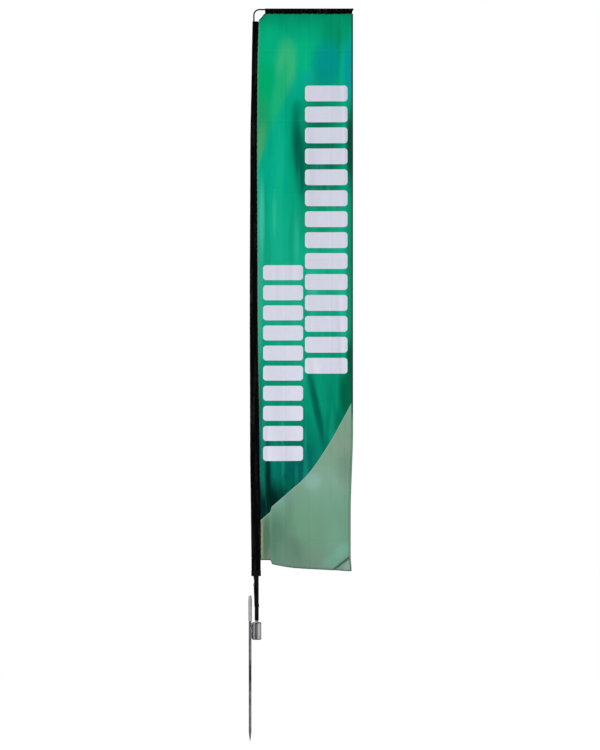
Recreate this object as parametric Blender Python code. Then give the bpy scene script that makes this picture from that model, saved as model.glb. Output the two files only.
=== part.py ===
"""Rectangular banner flag on a sectional pole, with a ball-bearing rotator and a ground stake.

Metres, +Z up. The origin is where the stake enters the ground: on the stake's axis, level with the underside of
the rotator. +X runs from the pole to the flag's free edge, and -Y is the flag's front.
"""
import math

import bmesh
import bpy
from mathutils import Matrix, Vector

GAP = 0.0003                    # left between pieces that touch
FINE, MEDIUM, COARSE = 32, 20, 12           # facets round a large, a middling and a slender piece
SLEEVE_FACETS = 16

# Stake
STAKE_RADIUS = 0.0070
STAKE_DEPTH = 0.5105
STAKE_POINT = 0.045
HEAD_RADIUS = 0.0092
HEAD_BOTTOM, HEAD_TOP = 0.092, 0.2205
HEAD_SOCKET = 0.045

# Rotator: a housing beside the stake with two 12 x 37 x 12 mm ball bearings
SWIVEL_X = 0.033
HOUSING_RADIUS = 0.0232
HOUSING_HEIGHT = 0.085
CAP_PLATE = 0.0030
SEAT_RADIUS = 0.0188
GROOVE_RADIUS = 0.0198
SHOULDER_RADIUS = 0.0165
BEARING_BORE, BEARING_OUTER, BEARING_WIDTH = 0.0060, 0.0185, 0.012
PITCH_RADIUS, BALL_RADIUS, BALLS = 0.01225, 0.0039, 7
RACE_RADIUS = BALL_RADIUS + 0.0005
INNER_LAND, OUTER_LAND = 0.0092, 0.0153
LOWER_BEARING_Z, UPPER_BEARING_Z = 0.0145, 0.0620
JOURNAL_RADIUS = BEARING_BORE - GAP
THREAD_RADIUS = 0.0047
COLLAR_RADIUS = 0.00825
POLE_SEAT_Z = 0.0945
PIN_RADIUS, PIN_TOP = 0.0060, 0.2000

# Pole: three tubes, each fitting inside the one below, then a bent rod and a straight arm
BASE_RADII = (0.0095, 0.0075)
MIDDLE_RADII = (0.0072, 0.0059)
UPPER_RADII = (0.0056, 0.00405)
ROD_RADIUS = 0.00375
BASE_TOP, MIDDLE_TOP, UPPER_TOP = 1.150, 2.150, 3.075
TUBE_LAP = 0.080
BOW = 0.0158                    # how far the flag's pull bows the pole sideways
BOW_START, BOW_END = 0.25, 2.20
BOW_RETURN = 0.0020
ARM_Z, ARM_END = 3.149, 0.505
BEND_RADIUS = 0.028
ELBOW_END = 0.098

# Flag
SLEEVE_BOTTOM, SLEEVE_TOP = 0.3178, 3.090
# height, left edge, right edge and half depth of the pole sleeve
SLEEVE_STATIONS = (
    (0.3178, 0.0070, 0.0533, 0.0122),
    (0.55, 0.0043, 0.0532, 0.0122),
    (0.95, -0.0003, 0.0462, 0.0122),
    (1.70, -0.0022, 0.0370, 0.0115),
    (2.45, 0.0005, 0.0345, 0.0098),
    (2.90, 0.0078, 0.0365, 0.0092),
    (3.09, 0.0120, 0.0435, 0.0086),
)
SLEEVE_WALL = 0.0008
SLEEVE_POWER = 2.6              # flattened oval: 2 would be an ellipse
CUFF_HEIGHT = 0.026
TOP_SLEEVE_START, TOP_SLEEVE_END = 0.0745, 0.511
TOP_SLEEVE_RADIUS = 0.0056
SEAM_Z, SEAM_HALF = 3.1278, 0.0013
SEAM_GAP = 0.0010
CLOTH = 0.0010
TAPE_WIDTH = 0.011
FLY_UPPER, FLY_LOWER, FLY_CORNER = 0.5140, 0.5020, 0.0040
HEM_LOW, HEM_RISE, HEM_LENGTH = 0.341, 0.0365, 0.15
PANEL_BOTTOM, PANEL_EDGE, PANEL_STEP = 0.3975, 0.102, 0.110
CORNER_FOOT = (0.0443, 3.0970)  # lower end of the cut-out corner's diagonal edge
CORNER_HEAD = (0.0715, SEAM_Z - GAP)
CLOTH_ROWS = 36

# Tensioner, on the pole's front and turned a little to its left
TENSIONER_TURN = math.radians(-14)
TENSIONER_Y = -0.0172
RING_TOP, RING_BOTTOM, RING_HALF, RING_WIRE = 0.279, 0.262, 0.0112, 0.0015
STRAP_WIDTH, STRAP_THICKNESS = 0.018, 0.0016
HOOK_Z, HOOK_RADIUS, ELASTIC_RADIUS = 0.170, 0.0030, 0.0020
ELASTIC_LEAN = 0.006            # how far to the left the elastic rides on the ring

FROM_AXIS = Vector((-SWIVEL_X, 0, 0))   # from the stake's axis to the swivel's, where the pole's own frame is


def clear_scene():
    for old in list(bpy.data.objects):
        bpy.data.objects.remove(old)


def material(name, colour, roughness, metallic=0.0):
    made = bpy.data.materials.new(name)
    made.use_nodes = True
    shader = made.node_tree.nodes["Principled BSDF"]
    shader.inputs["Base Color"].default_value = (*colour, 1.0)
    shader.inputs["Roughness"].default_value = roughness
    shader.inputs["Metallic"].default_value = metallic
    return made


def smoothstep(low, high, value):
    t = min(max((value - low) / (high - low), 0.0), 1.0)
    return t * t * (3 - 2 * t)


def spread(low, high, count):
    """count evenly spaced values from low to high."""
    return [low + (high - low) * i / (count - 1) for i in range(count)]


def add_object(name, data, look, parent=None):
    made = bpy.data.objects.new(name, data)
    bpy.context.collection.objects.link(made)
    made.data.materials.append(look)
    made.parent = parent
    return made


def add_mesh(name, shape, look, parent=None, offset=(0, 0, 0)):
    """Turn a bmesh into a smooth-shaded object whose faces point out."""
    bmesh.ops.translate(shape, verts=shape.verts, vec=Vector(offset))
    bmesh.ops.recalc_face_normals(shape, faces=shape.faces)
    mesh = bpy.data.meshes.new(name)
    shape.to_mesh(mesh)
    shape.free()
    mesh.shade_smooth()
    mesh.set_sharp_from_angle(angle=math.radians(40))
    return add_object(name, mesh, look, parent)


def pivot(name, place):
    """Empty on a joint's axis; the pieces that move with the joint hang from it."""
    empty = bpy.data.objects.new(name, None)
    empty.location = place
    bpy.context.collection.objects.link(empty)
    return empty


def turned(name, profile, look, parent=None, centre=(0, 0, 0), facets=FINE):
    """Solid of revolution from (radius, height) points: a ring, or a solid if it starts and ends on the axis."""
    shape = bmesh.new()
    verts = [shape.verts.new((radius, 0, height)) for radius, height in profile]
    edges = [shape.edges.new(pair) for pair in zip(verts, verts[1:])]
    if profile[0][0] > 0:
        edges.append(shape.edges.new((verts[-1], verts[0])))
    bmesh.ops.spin(shape, geom=verts + edges, axis=(0, 0, 1), cent=(0, 0, 0), angle=math.tau, steps=facets,
                   use_merge=True)
    bmesh.ops.remove_doubles(shape, verts=shape.verts, dist=1e-6)
    return add_mesh(name, shape, look, parent, centre)


def lofted(name, rings, look, parent=None, looped=False, offset=(0, 0, 0)):
    """Skin over equal rings of points: looped joins the last ring to the first, otherwise both ends are capped."""
    shape = bmesh.new()
    loops = [[shape.verts.new(point) for point in ring] for ring in rings]
    pairs = list(zip(loops, loops[1:]))
    if looped:
        pairs.append((loops[-1], loops[0]))
    for lower, upper in pairs:
        for i in range(len(lower)):
            j = (i + 1) % len(lower)
            shape.faces.new((lower[i], lower[j], upper[j], upper[i]))
    if not looped:
        shape.faces.new(loops[0])
        shape.faces.new(loops[-1])
    return add_mesh(name, shape, look, parent, offset)


def wire(name, points, radius, look, parent=None, closed=False):
    """Round rod, wire or cord along a list of points."""
    curve = bpy.data.curves.new(name, "CURVE")
    curve.dimensions = "3D"
    curve.bevel_depth = radius
    curve.bevel_resolution = 2
    curve.use_fill_caps = not closed
    spline = curve.splines.new("POLY")
    spline.points.add(len(points) - 1)
    for point, place in zip(spline.points, points):
        point.co = (*place, 1.0)
    spline.use_cyclic_u = closed
    return add_object(name, curve, look, parent)


def boolean(piece, guide, operation):
    """Cut the hidden guide from the piece, or join it on."""
    guide.hide_render = True
    guide.display_type = "WIRE"
    step = piece.modifiers.new(operation.lower(), "BOOLEAN")
    step.operation = operation
    step.object = guide


def pole_x(height):
    """The bowed pole's axis."""
    t = min(max((height - BOW_START) / (BOW_END - BOW_START), 0.0), 1.0)
    back = max((height - BOW_END) / (ARM_Z - BOW_END), 0.0)
    return SWIVEL_X - BOW * math.sin(0.5 * math.pi * t) ** 2 + BOW_RETURN * back ** 2


def pole_piece(name, profile, look, parent):
    """Ring or tube that follows the bowed pole, from a closed (radius, height) outline."""
    rings = []
    for radius, height in profile:
        angles = [math.tau * i / COARSE for i in range(COARSE)]
        rings.append([(pole_x(height) + radius * math.cos(a), radius * math.sin(a), height) for a in angles])
    return lofted(name, rings, look, parent, looped=True, offset=FROM_AXIS)


def tube_outline(radii, low, high):
    outer, inner = radii
    heights = spread(low, high, 7)
    return [(outer, z) for z in heights] + [(inner, z) for z in reversed(heights)]


def collar_outline(tube_radius, next_radius, top):
    """Collar on the top end of a tube, with a lip over the tube's end."""
    outer = tube_radius + GAP + 0.0010
    return [(tube_radius + GAP, top - 0.045), (outer, top - 0.045), (outer, top + 0.005),
            (next_radius + GAP, top + 0.005), (next_radius + GAP, top + GAP), (tube_radius + GAP, top + GAP)]


def arm_rings(profile):
    """Rings round the arm's axis, from (radius, x) points."""
    rings = []
    for radius, x in profile:
        angles = [math.tau * i / COARSE for i in range(COARSE)]
        rings.append([(x, radius * math.cos(a), ARM_Z + radius * math.sin(a)) for a in angles])
    return rings


def build_stake(looks):
    turned("stake_rod", [(0, -STAKE_DEPTH), (0.0012, -STAKE_DEPTH + 0.001), (STAKE_RADIUS, STAKE_POINT - STAKE_DEPTH),
                         (STAKE_RADIUS, HEAD_BOTTOM + HEAD_SOCKET - GAP), (0, HEAD_BOTTOM + HEAD_SOCKET - GAP)],
           looks["zinc_steel"], facets=MEDIUM)
    socket = STAKE_RADIUS + GAP
    turned("driving_head", [(0, HEAD_BOTTOM + HEAD_SOCKET), (socket, HEAD_BOTTOM + HEAD_SOCKET),
                            (socket, HEAD_BOTTOM), (HEAD_RADIUS - 0.0008, HEAD_BOTTOM),
                            (HEAD_RADIUS, HEAD_BOTTOM + 0.0015), (HEAD_RADIUS, HEAD_TOP - 0.028),
                            (0.0072, HEAD_TOP - 0.005), (0.0060, HEAD_TOP), (0, HEAD_TOP)],
           looks["bright_steel"], facets=MEDIUM)
    weld = bmesh.new()
    half_width, low, high = 0.006, 0.006, 0.079
    near = [math.asin(y / (STAKE_RADIUS + GAP)) for y in spread(-half_width, half_width, 7)]
    far = [math.asin(y / (HOUSING_RADIUS + GAP)) for y in spread(half_width, -half_width, 7)]
    outline = [((STAKE_RADIUS + GAP) * math.cos(a), (STAKE_RADIUS + GAP) * math.sin(a), low) for a in near]
    outline += [(SWIVEL_X - (HOUSING_RADIUS + GAP) * math.cos(a), (HOUSING_RADIUS + GAP) * math.sin(a), low)
                for a in far]
    face = weld.faces.new([weld.verts.new(point) for point in outline])
    grown = bmesh.ops.extrude_face_region(weld, geom=[face])["geom"]
    bmesh.ops.translate(weld, verts=[v for v in grown if isinstance(v, bmesh.types.BMVert)], vec=(0, 0, high - low))
    add_mesh("stake_bracket", weld, looks["zinc_steel"])


def build_housing(looks):
    centre = (SWIVEL_X, 0, 0)
    spigot, spigot_bore, edge = SEAT_RADIUS - GAP, 0.0155, 0.0006
    low, high = CAP_PLATE + GAP, HOUSING_HEIGHT - CAP_PLATE - GAP
    seats = [(SEAT_RADIUS, high), (SEAT_RADIUS, 0.0760), (GROOVE_RADIUS, 0.0760), (GROOVE_RADIUS, 0.0742),
             (SEAT_RADIUS, 0.0742), (SEAT_RADIUS, UPPER_BEARING_Z - GAP), (SHOULDER_RADIUS, UPPER_BEARING_Z - GAP),
             (SHOULDER_RADIUS, 0.0268), (SEAT_RADIUS, 0.0268), (SEAT_RADIUS, 0.0143), (GROOVE_RADIUS, 0.0143),
             (GROOVE_RADIUS, 0.0125), (SEAT_RADIUS, 0.0125), (SEAT_RADIUS, low)]
    turned("rotator_housing", [(HOUSING_RADIUS - edge, low), (HOUSING_RADIUS, low + edge),
                               (HOUSING_RADIUS, high - edge), (HOUSING_RADIUS - edge, high)] + seats,
           looks["chrome"], centre=centre)
    turned("housing_bottom_cap", [(0, 0), (HOUSING_RADIUS - edge, 0), (HOUSING_RADIUS, edge),
                                  (HOUSING_RADIUS, CAP_PLATE), (spigot, CAP_PLATE), (spigot, 0.0070),
                                  (spigot_bore, 0.0070), (spigot_bore, CAP_PLATE), (0, CAP_PLATE)],
           looks["dark_steel"], centre=centre)
    top = HOUSING_HEIGHT
    turned("housing_top_cap", [(0.0095, top - CAP_PLATE), (spigot_bore, top - CAP_PLATE), (spigot_bore, 0.0780),
                               (spigot, 0.0780), (spigot, top - CAP_PLATE), (HOUSING_RADIUS, top - CAP_PLATE),
                               (HOUSING_RADIUS, top - edge), (HOUSING_RADIUS - edge, top), (0.0095, top)],
           looks["dark_steel"], centre=centre)
    turned("shaft_seal", [(COLLAR_RADIUS + GAP, 0.0785), (spigot_bore - GAP, 0.0785), (spigot_bore - GAP, 0.0815),
                          (COLLAR_RADIUS + GAP, 0.0815)], looks["rubber"], centre=centre)
    for name, low in (("lower_snap_ring", 0.0128), ("upper_snap_ring", 0.0745)):
        section = [(0.0150, low), (GROOVE_RADIUS - GAP, low), (GROOVE_RADIUS - GAP, low + 0.0012),
                   (0.0150, low + 0.0012)]
        angles = spread(math.radians(15), math.radians(345), 23)
        rings = [[(r * math.cos(a), r * math.sin(a), z) for r, z in section] for a in angles]
        lofted(name, rings, looks["dark_steel"], offset=centre)


def race(low, sign):
    """Ball groove of a bearing ring, bottom to top: sign 1 is the outer ring's, -1 the inner ring's."""
    land = OUTER_LAND if sign > 0 else INNER_LAND
    half = math.acos(abs(land - PITCH_RADIUS) / RACE_RADIUS)
    middle = low + BEARING_WIDTH / 2
    return [(PITCH_RADIUS + sign * RACE_RADIUS * math.cos(a), middle + RACE_RADIUS * math.sin(a))
            for a in spread(-half, half, 5)]


def build_bearing(name, low, looks, swivel):
    centre = (SWIVEL_X, 0, 0)
    high = low + BEARING_WIDTH
    turned(name + "_bearing_outer_ring", [(BEARING_OUTER, low), (BEARING_OUTER, high), (OUTER_LAND, high)]
           + race(low, 1)[::-1] + [(OUTER_LAND, low)], looks["bearing_steel"], centre=centre, facets=MEDIUM)
    turned(name + "_bearing_inner_ring", [(BEARING_BORE, high), (BEARING_BORE, low), (INNER_LAND, low)]
           + race(low, -1) + [(INNER_LAND, high)], looks["bearing_steel"], swivel,
           (0, 0, 0), facets=MEDIUM)
    cage_centre = pivot(name + "_cage_axis", (SWIVEL_X, 0, low + BEARING_WIDTH / 2))
    cage = turned(name + "_bearing_balls", [(0.0114, -0.0024), (0.0131, -0.0024), (0.0131, 0.0024),
                                            (0.0114, 0.0024)], looks["bearing_steel"], cage_centre, facets=MEDIUM)
    balls = bmesh.new()
    for i in range(BALLS):
        place = Matrix.Rotation(math.tau * i / BALLS, 4, "Z") @ Matrix.Translation((PITCH_RADIUS, 0, 0))
        bmesh.ops.create_icosphere(balls, subdivisions=2, radius=BALL_RADIUS, matrix=place)
    boolean(cage, add_mesh(name + "_ball_guide", balls, looks["bearing_steel"], cage_centre), "UNION")


def build_spindle(looks, swivel):
    turned("spindle", [(0, 0.0040), (THREAD_RADIUS - 0.0006, 0.0040), (THREAD_RADIUS, 0.0046),
                       (THREAD_RADIUS, 0.0143), (JOURNAL_RADIUS, 0.0143), (JOURNAL_RADIUS, 0.0743),
                       (COLLAR_RADIUS, 0.0743), (COLLAR_RADIUS, POLE_SEAT_Z), (PIN_RADIUS, POLE_SEAT_Z),
                       (PIN_RADIUS, PIN_TOP - 0.004), (PIN_RADIUS - 0.0015, PIN_TOP), (0, PIN_TOP)],
           looks["bright_steel"], swivel, facets=MEDIUM)
    turned("inner_ring_spacer", [(BEARING_BORE, 0.0268), (0.0080, 0.0268), (0.0080, 0.0617), (BEARING_BORE, 0.0617)],
           looks["dark_steel"], swivel, facets=MEDIUM)
    turned("spindle_washer", [(THREAD_RADIUS + GAP, 0.0126), (0.0090, 0.0126), (0.0090, 0.0140),
                              (THREAD_RADIUS + GAP, 0.0140)], looks["zinc_steel"], swivel, facets=MEDIUM)
    nut_low, nut_high, across_corners = 0.0045, 0.0123, 0.0196
    block, drill = bmesh.new(), bmesh.new()
    middle = Matrix.Translation((0, 0, (nut_low + nut_high) / 2))
    bmesh.ops.create_cone(block, cap_ends=True, segments=6, radius1=across_corners / 2, radius2=across_corners / 2,
                          depth=nut_high - nut_low, matrix=middle)
    bmesh.ops.create_cone(drill, cap_ends=True, segments=24, radius1=THREAD_RADIUS + GAP,
                          radius2=THREAD_RADIUS + GAP, depth=0.02, matrix=middle)
    nut = add_mesh("spindle_nut", block, looks["zinc_steel"], swivel)
    boolean(nut, add_mesh("nut_drill", drill, looks["zinc_steel"], swivel), "DIFFERENCE")


def build_pole(looks, lift):
    bottom = POLE_SEAT_Z + GAP
    flange_top = bottom + 0.0017
    pole_piece("pole_base_bush", [(PIN_RADIUS + GAP, bottom), (BASE_RADII[0], bottom), (BASE_RADII[0], flange_top),
                                  (BASE_RADII[1] - GAP, flange_top), (BASE_RADII[1] - GAP, 0.199),
                                  (PIN_RADIUS + GAP, 0.199)], looks["black_nylon"], lift)
    pole_piece("pole_base_section", tube_outline(BASE_RADII, flange_top + GAP, BASE_TOP), looks["black_pole"], lift)
    pole_piece("lower_joint_collar", collar_outline(BASE_RADII[0], MIDDLE_RADII[0], BASE_TOP),
               looks["alloy"], lift)
    pole_piece("pole_middle_section", tube_outline(MIDDLE_RADII, BASE_TOP - TUBE_LAP, MIDDLE_TOP),
               looks["black_pole"], lift)
    pole_piece("upper_joint_collar", collar_outline(MIDDLE_RADII[0], UPPER_RADII[0], MIDDLE_TOP),
               looks["alloy"], lift)
    pole_piece("pole_upper_section", tube_outline(UPPER_RADII, MIDDLE_TOP - TUBE_LAP, UPPER_TOP),
               looks["black_pole"], lift)


def build_arm(looks, lift):
    bend_x, bend_z = pole_x(ARM_Z - BEND_RADIUS) + BEND_RADIUS, ARM_Z - BEND_RADIUS
    path = [(pole_x(z), 0, z) for z in spread(UPPER_TOP - 0.060, bend_z, 5)]
    path += [(bend_x - BEND_RADIUS * math.cos(a), 0, bend_z + BEND_RADIUS * math.sin(a))
             for a in spread(0, 0.5 * math.pi, 9)[1:]]
    path.append((ELBOW_END, 0, ARM_Z))
    wire("top_elbow", [Vector(p) + FROM_AXIS for p in path], ROD_RADIUS, looks["dark_rod"], lift)
    bore = ROD_RADIUS + GAP
    lofted("arm_joint_collar", arm_rings([(bore, 0.080), (0.0047, 0.080), (0.0047, 0.130), (bore, 0.130)]),
           looks["alloy"], lift, looped=True, offset=FROM_AXIS)
    lofted("top_arm", arm_rings([(ROD_RADIUS, ELBOW_END + GAP), (ROD_RADIUS, ARM_END)]), looks["dark_rod"], lift,
           offset=FROM_AXIS)
    plug, rim, cap_end = 0.0047, 0.0070, 0.5165
    lofted("arm_end_cap", arm_rings([(0.001, ARM_END + GAP), (bore, ARM_END + GAP), (bore, 0.488), (plug, 0.488),
                                     (plug, TOP_SLEEVE_END + GAP), (rim, TOP_SLEEVE_END + GAP),
                                     (rim, cap_end - 0.002), (0.0050, cap_end), (0.001, cap_end)]),
           looks["black_nylon"], lift, offset=FROM_AXIS)


def sleeve_at(height):
    """Left edge, right edge and half depth of the pole sleeve at a height."""
    for low, high in zip(SLEEVE_STATIONS, SLEEVE_STATIONS[1:]):
        if height <= high[0]:
            t = smoothstep(low[0], high[0], height)
            return [a + (b - a) * t for a, b in zip(low[1:], high[1:])]
    return list(SLEEVE_STATIONS[-1][1:])


def oval_ring(height, grow):
    """Flattened oval outline of the sleeve at a height, grown outwards by grow."""
    left, right, half_depth = sleeve_at(height)
    half_width = (right - left) / 2 + grow
    ring = []
    for i in range(SLEEVE_FACETS):
        angle = math.tau * i / SLEEVE_FACETS
        c, s = math.cos(angle), math.sin(angle)
        ring.append(((left + right) / 2 + half_width * math.copysign(abs(c) ** (2 / SLEEVE_POWER), c),
                     (half_depth + grow) * math.copysign(abs(s) ** (2 / SLEEVE_POWER), s), height))
    return ring


def build_sleeves(looks, lift):
    heights = spread(SLEEVE_BOTTOM, SLEEVE_TOP, 25)
    lofted("pole_sleeve", [oval_ring(z, 0) for z in heights] + [oval_ring(z, -SLEEVE_WALL) for z in heights[::-1]],
           looks["black_fabric"], lift, looped=True, offset=FROM_AXIS)
    cuff = spread(SLEEVE_BOTTOM - 0.0008, SLEEVE_BOTTOM + CUFF_HEIGHT, 3)
    lofted("sleeve_cuff", [oval_ring(z, GAP + 0.0011) for z in cuff] + [oval_ring(z, GAP) for z in cuff[::-1]],
           looks["black_webbing"], lift, looped=True, offset=FROM_AXIS)

    def teardrop(x, inset):
        """Cross-section of the top sleeve: round over the arm, drawn together into the seam below it."""
        radius = TOP_SLEEVE_RADIUS - inset
        ring = [(x, radius * math.cos(a), ARM_Z + radius * math.sin(a)) for a in spread(0, math.pi, 9)]
        tip_half, tip_z = SEAM_HALF - inset, SEAM_Z + inset
        for side, share in ((-1, 0.5), (-1, 1.0), (1, 1.0), (1, 0.5)):
            ring.append((x, side * (radius + (tip_half - radius) * share), ARM_Z + (tip_z - ARM_Z) * share))
        return ring

    stations = spread(TOP_SLEEVE_START, TOP_SLEEVE_END, 6)
    lofted("top_sleeve", [teardrop(x, 0) for x in stations] + [teardrop(x, SLEEVE_WALL * 0.75)
                                                              for x in stations[::-1]],
           looks["black_fabric"], lift, looped=True, offset=FROM_AXIS)


def bottom_edge(x):
    main = HEM_LOW + HEM_RISE * math.exp(-(x - PANEL_STEP) / HEM_LENGTH)
    return PANEL_BOTTOM + (main - PANEL_BOTTOM) * smoothstep(PANEL_EDGE, PANEL_STEP, x)


def top_edge(x):
    (foot_x, foot_z), (head_x, head_z) = CORNER_FOOT, CORNER_HEAD
    share = min(max((x - foot_x) / (head_x - foot_x), 0.0), 1.0)
    return foot_z + (head_z - foot_z) * share


def fly_edge(z):
    return (FLY_LOWER + (FLY_UPPER - FLY_LOWER) * smoothstep(0.62, 1.05, z)
            + FLY_CORNER * smoothstep(0.42, 0.35, z))


def wave(x, z):
    """How far the cloth stands behind (+) or in front of (-) the pole's plane."""
    free = smoothstep(0.05, 0.22, x)
    depth = 0.004 + 0.017 * smoothstep(1.6, 0.55, z)
    hang = smoothstep(SEAM_Z, SEAM_Z - 0.5, z)
    return free * hang * depth * math.sin(math.tau * (x / 0.36 + 0.55 * z) + 0.6)


def cloth_point(u, v, behind=0.0):
    """Point of the flag: u from the pole sleeve to the fly edge, v from the bottom edge to the top."""
    foot_x = 0.0525 + u * (FLY_LOWER + FLY_CORNER - 0.0525)
    head_x = CORNER_FOOT[0] + u * (FLY_UPPER - CORNER_FOOT[0])
    low, high = bottom_edge(foot_x), top_edge(head_x)
    z = low + v * (high - low)
    left = max(sleeve_at(z)[1] + SEAM_GAP, CORNER_FOOT[0] if z > SLEEVE_TOP else 0.0)
    x = left + u * (fly_edge(z) - left)
    return (x, wave(x, z) + behind, z)


def cloth_sheet(name, columns, rows, behind, thickness, look, lift):
    """Grid of the flag between the given columns and rows, made solid."""
    shape = bmesh.new()
    grid = [[shape.verts.new(cloth_point(u, v, behind)) for u in columns] for v in rows]
    for lower, upper in zip(grid, grid[1:]):
        for i in range(len(columns) - 1):
            shape.faces.new((lower[i], lower[i + 1], upper[i + 1], upper[i]))
    sheet = add_mesh(name, shape, look, lift, FROM_AXIS)
    solid = sheet.modifiers.new("thickness", "SOLIDIFY")
    solid.thickness = thickness
    solid.offset = 0.0


def build_flag(looks, lift):
    span = FLY_UPPER - CORNER_FOOT[0]
    tape_u = 1 - TAPE_WIDTH / span
    corner_u = (CORNER_HEAD[0] - CORNER_FOOT[0]) / span
    foot_span = FLY_LOWER + FLY_CORNER - 0.0525
    step_u = [(x - 0.0525) / foot_span for x in (PANEL_EDGE, PANEL_STEP)]
    columns = [0, corner_u] + step_u + spread(0.21, 0.90, 8) + [tape_u, 1]
    tape_v = TAPE_WIDTH / (SEAM_Z - PANEL_BOTTOM)
    rows = [0, tape_v] + spread(tape_v, 1, CLOTH_ROWS)[1:]
    cloth_sheet("flag_cloth", columns, rows, 0.0, CLOTH, looks["printed_cloth"], lift)
    apart = 2 * CLOTH + GAP
    cloth_sheet("fly_edge_tape", [tape_u, 1], rows, apart, CLOTH, looks["edge_tape"], lift)
    short = tape_u - 0.003
    cloth_sheet("bottom_edge_tape", [u for u in columns if u < short] + [short], [0, tape_v], apart, CLOTH,
                looks["edge_tape"], lift)
    (foot_x, foot_z), (head_x, head_z) = CORNER_FOOT, CORNER_HEAD
    along = Vector((head_x - foot_x, 0, head_z - foot_z)).normalized()
    across = Vector((-along.z, 0, along.x))
    ends = [Vector((foot_x, 0, foot_z)) + along * 0.002, Vector((head_x, 0, head_z)) - along * 0.001]
    rings = []
    for end in ends:
        near, far = end + across * (GAP + 0.0002), end + across * 0.0032
        rings.append([near + Vector((0, s * 0.0008, 0)) for s in (-1, 1)]
                     + [far + Vector((0, s * 0.0008, 0)) for s in (1, -1)])
    lofted("corner_binding", rings, looks["black_webbing"], lift, offset=FROM_AXIS)


def build_tensioner(looks, lift):
    """Strap, ring, elastic and hook; their own frame has the pole's axis as Z and -Y straight out in front."""
    turn = pivot("tensioner_turn", (0, 0, 0))
    turn.parent = lift
    turn.rotation_euler = (0, 0, TENSIONER_TURN)
    strap_y = TENSIONER_Y + 0.0005
    loop = RING_WIRE + GAP + STRAP_THICKNESS / 2 + 0.0001
    middle = [(strap_y, SLEEVE_BOTTOM + 0.022), (strap_y, SLEEVE_BOTTOM - 0.005)]
    middle += [(TENSIONER_Y + loop * math.cos(a), RING_TOP + loop * math.sin(a))
               for a in spread(math.pi, math.tau, 9)]
    middle.append((TENSIONER_Y + loop, SLEEVE_BOTTOM - 0.006))
    outline = {-1: [], 1: []}
    for i, (y, z) in enumerate(middle):
        before, after = Vector(middle[max(i - 1, 0)]), Vector(middle[min(i + 1, len(middle) - 1)])
        normal = (after - before).normalized().orthogonal()
        for side in outline:
            outline[side].append((y + side * normal.x * STRAP_THICKNESS / 2,
                                  z + side * normal.y * STRAP_THICKNESS / 2))
    profile = outline[-1] + outline[1][::-1]
    rings = [[(x, y, z) for y, z in profile] for x in (-STRAP_WIDTH / 2, STRAP_WIDTH / 2)]
    lofted("tension_strap", rings, looks["black_webbing"], turn)

    corner, ring_points = 0.0022, []
    corners = ((1, RING_TOP, 0), (-1, RING_TOP, 1), (-1, RING_BOTTOM, 2), (1, RING_BOTTOM, 3))
    for side, z, quarter in corners:
        inward = -corner if z == RING_TOP else corner
        for a in spread(quarter * math.pi / 2, (quarter + 1) * math.pi / 2, 5):
            ring_points.append((side * (RING_HALF - corner) + corner * math.cos(a), TENSIONER_Y,
                                z + inward + corner * math.sin(a)))
    wire("strap_ring", ring_points, RING_WIRE, looks["dark_steel"], turn, closed=True)

    over = RING_WIRE + ELASTIC_RADIUS + 0.00035
    under = HOOK_RADIUS + ELASTIC_RADIUS + 0.00035
    top_arc = [(-ELASTIC_LEAN, TENSIONER_Y - over * math.cos(a), RING_BOTTOM + over * math.sin(a))
               for a in spread(0, math.pi, 7)]
    bottom_arc = [(under * math.cos(a), TENSIONER_Y, HOOK_Z - under * math.sin(a)) for a in spread(0, math.pi, 9)]

    def leg(start, end):
        """Points between two ends, easing from the one's plane to the other's."""
        eased = [smoothstep(0, 1, t) for t in spread(0, 1, 7)[1:-1]]
        heights = spread(start[2], end[2], 7)[1:-1]
        return [(start[0] + (end[0] - start[0]) * t, start[1] + (end[1] - start[1]) * t, z)
                for t, z in zip(eased, heights)]

    points = top_arc + leg(top_arc[-1], bottom_arc[0]) + bottom_arc + leg(bottom_arc[-1], top_arc[0])
    wire("elastic_loop", points, ELASTIC_RADIUS, looks["black_elastic"], turn, closed=True)

    bore = BASE_RADII[0] + GAP
    clip = turned("pole_hook_clip", [(bore, HOOK_Z - 0.008), (bore + 0.0013, HOOK_Z - 0.008),
                                     (bore + 0.0013, HOOK_Z + 0.008), (bore, HOOK_Z + 0.008)],
                  looks["black_nylon"], turn, facets=MEDIUM)
    lip_y = ELASTIC_RADIUS - TENSIONER_Y + 0.0006
    hook = turned("hook_guide", [(0, bore + 0.0003), (HOOK_RADIUS, bore + 0.0003), (HOOK_RADIUS, lip_y),
                                 (0.0045, lip_y), (0.0045, lip_y + 0.0015), (0, lip_y + 0.0015)],
                  looks["black_nylon"], turn, facets=COARSE)
    hook.rotation_euler = (math.radians(90), 0, 0)
    hook.location = (0, 0, HOOK_Z)
    boolean(clip, hook, "UNION")


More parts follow.
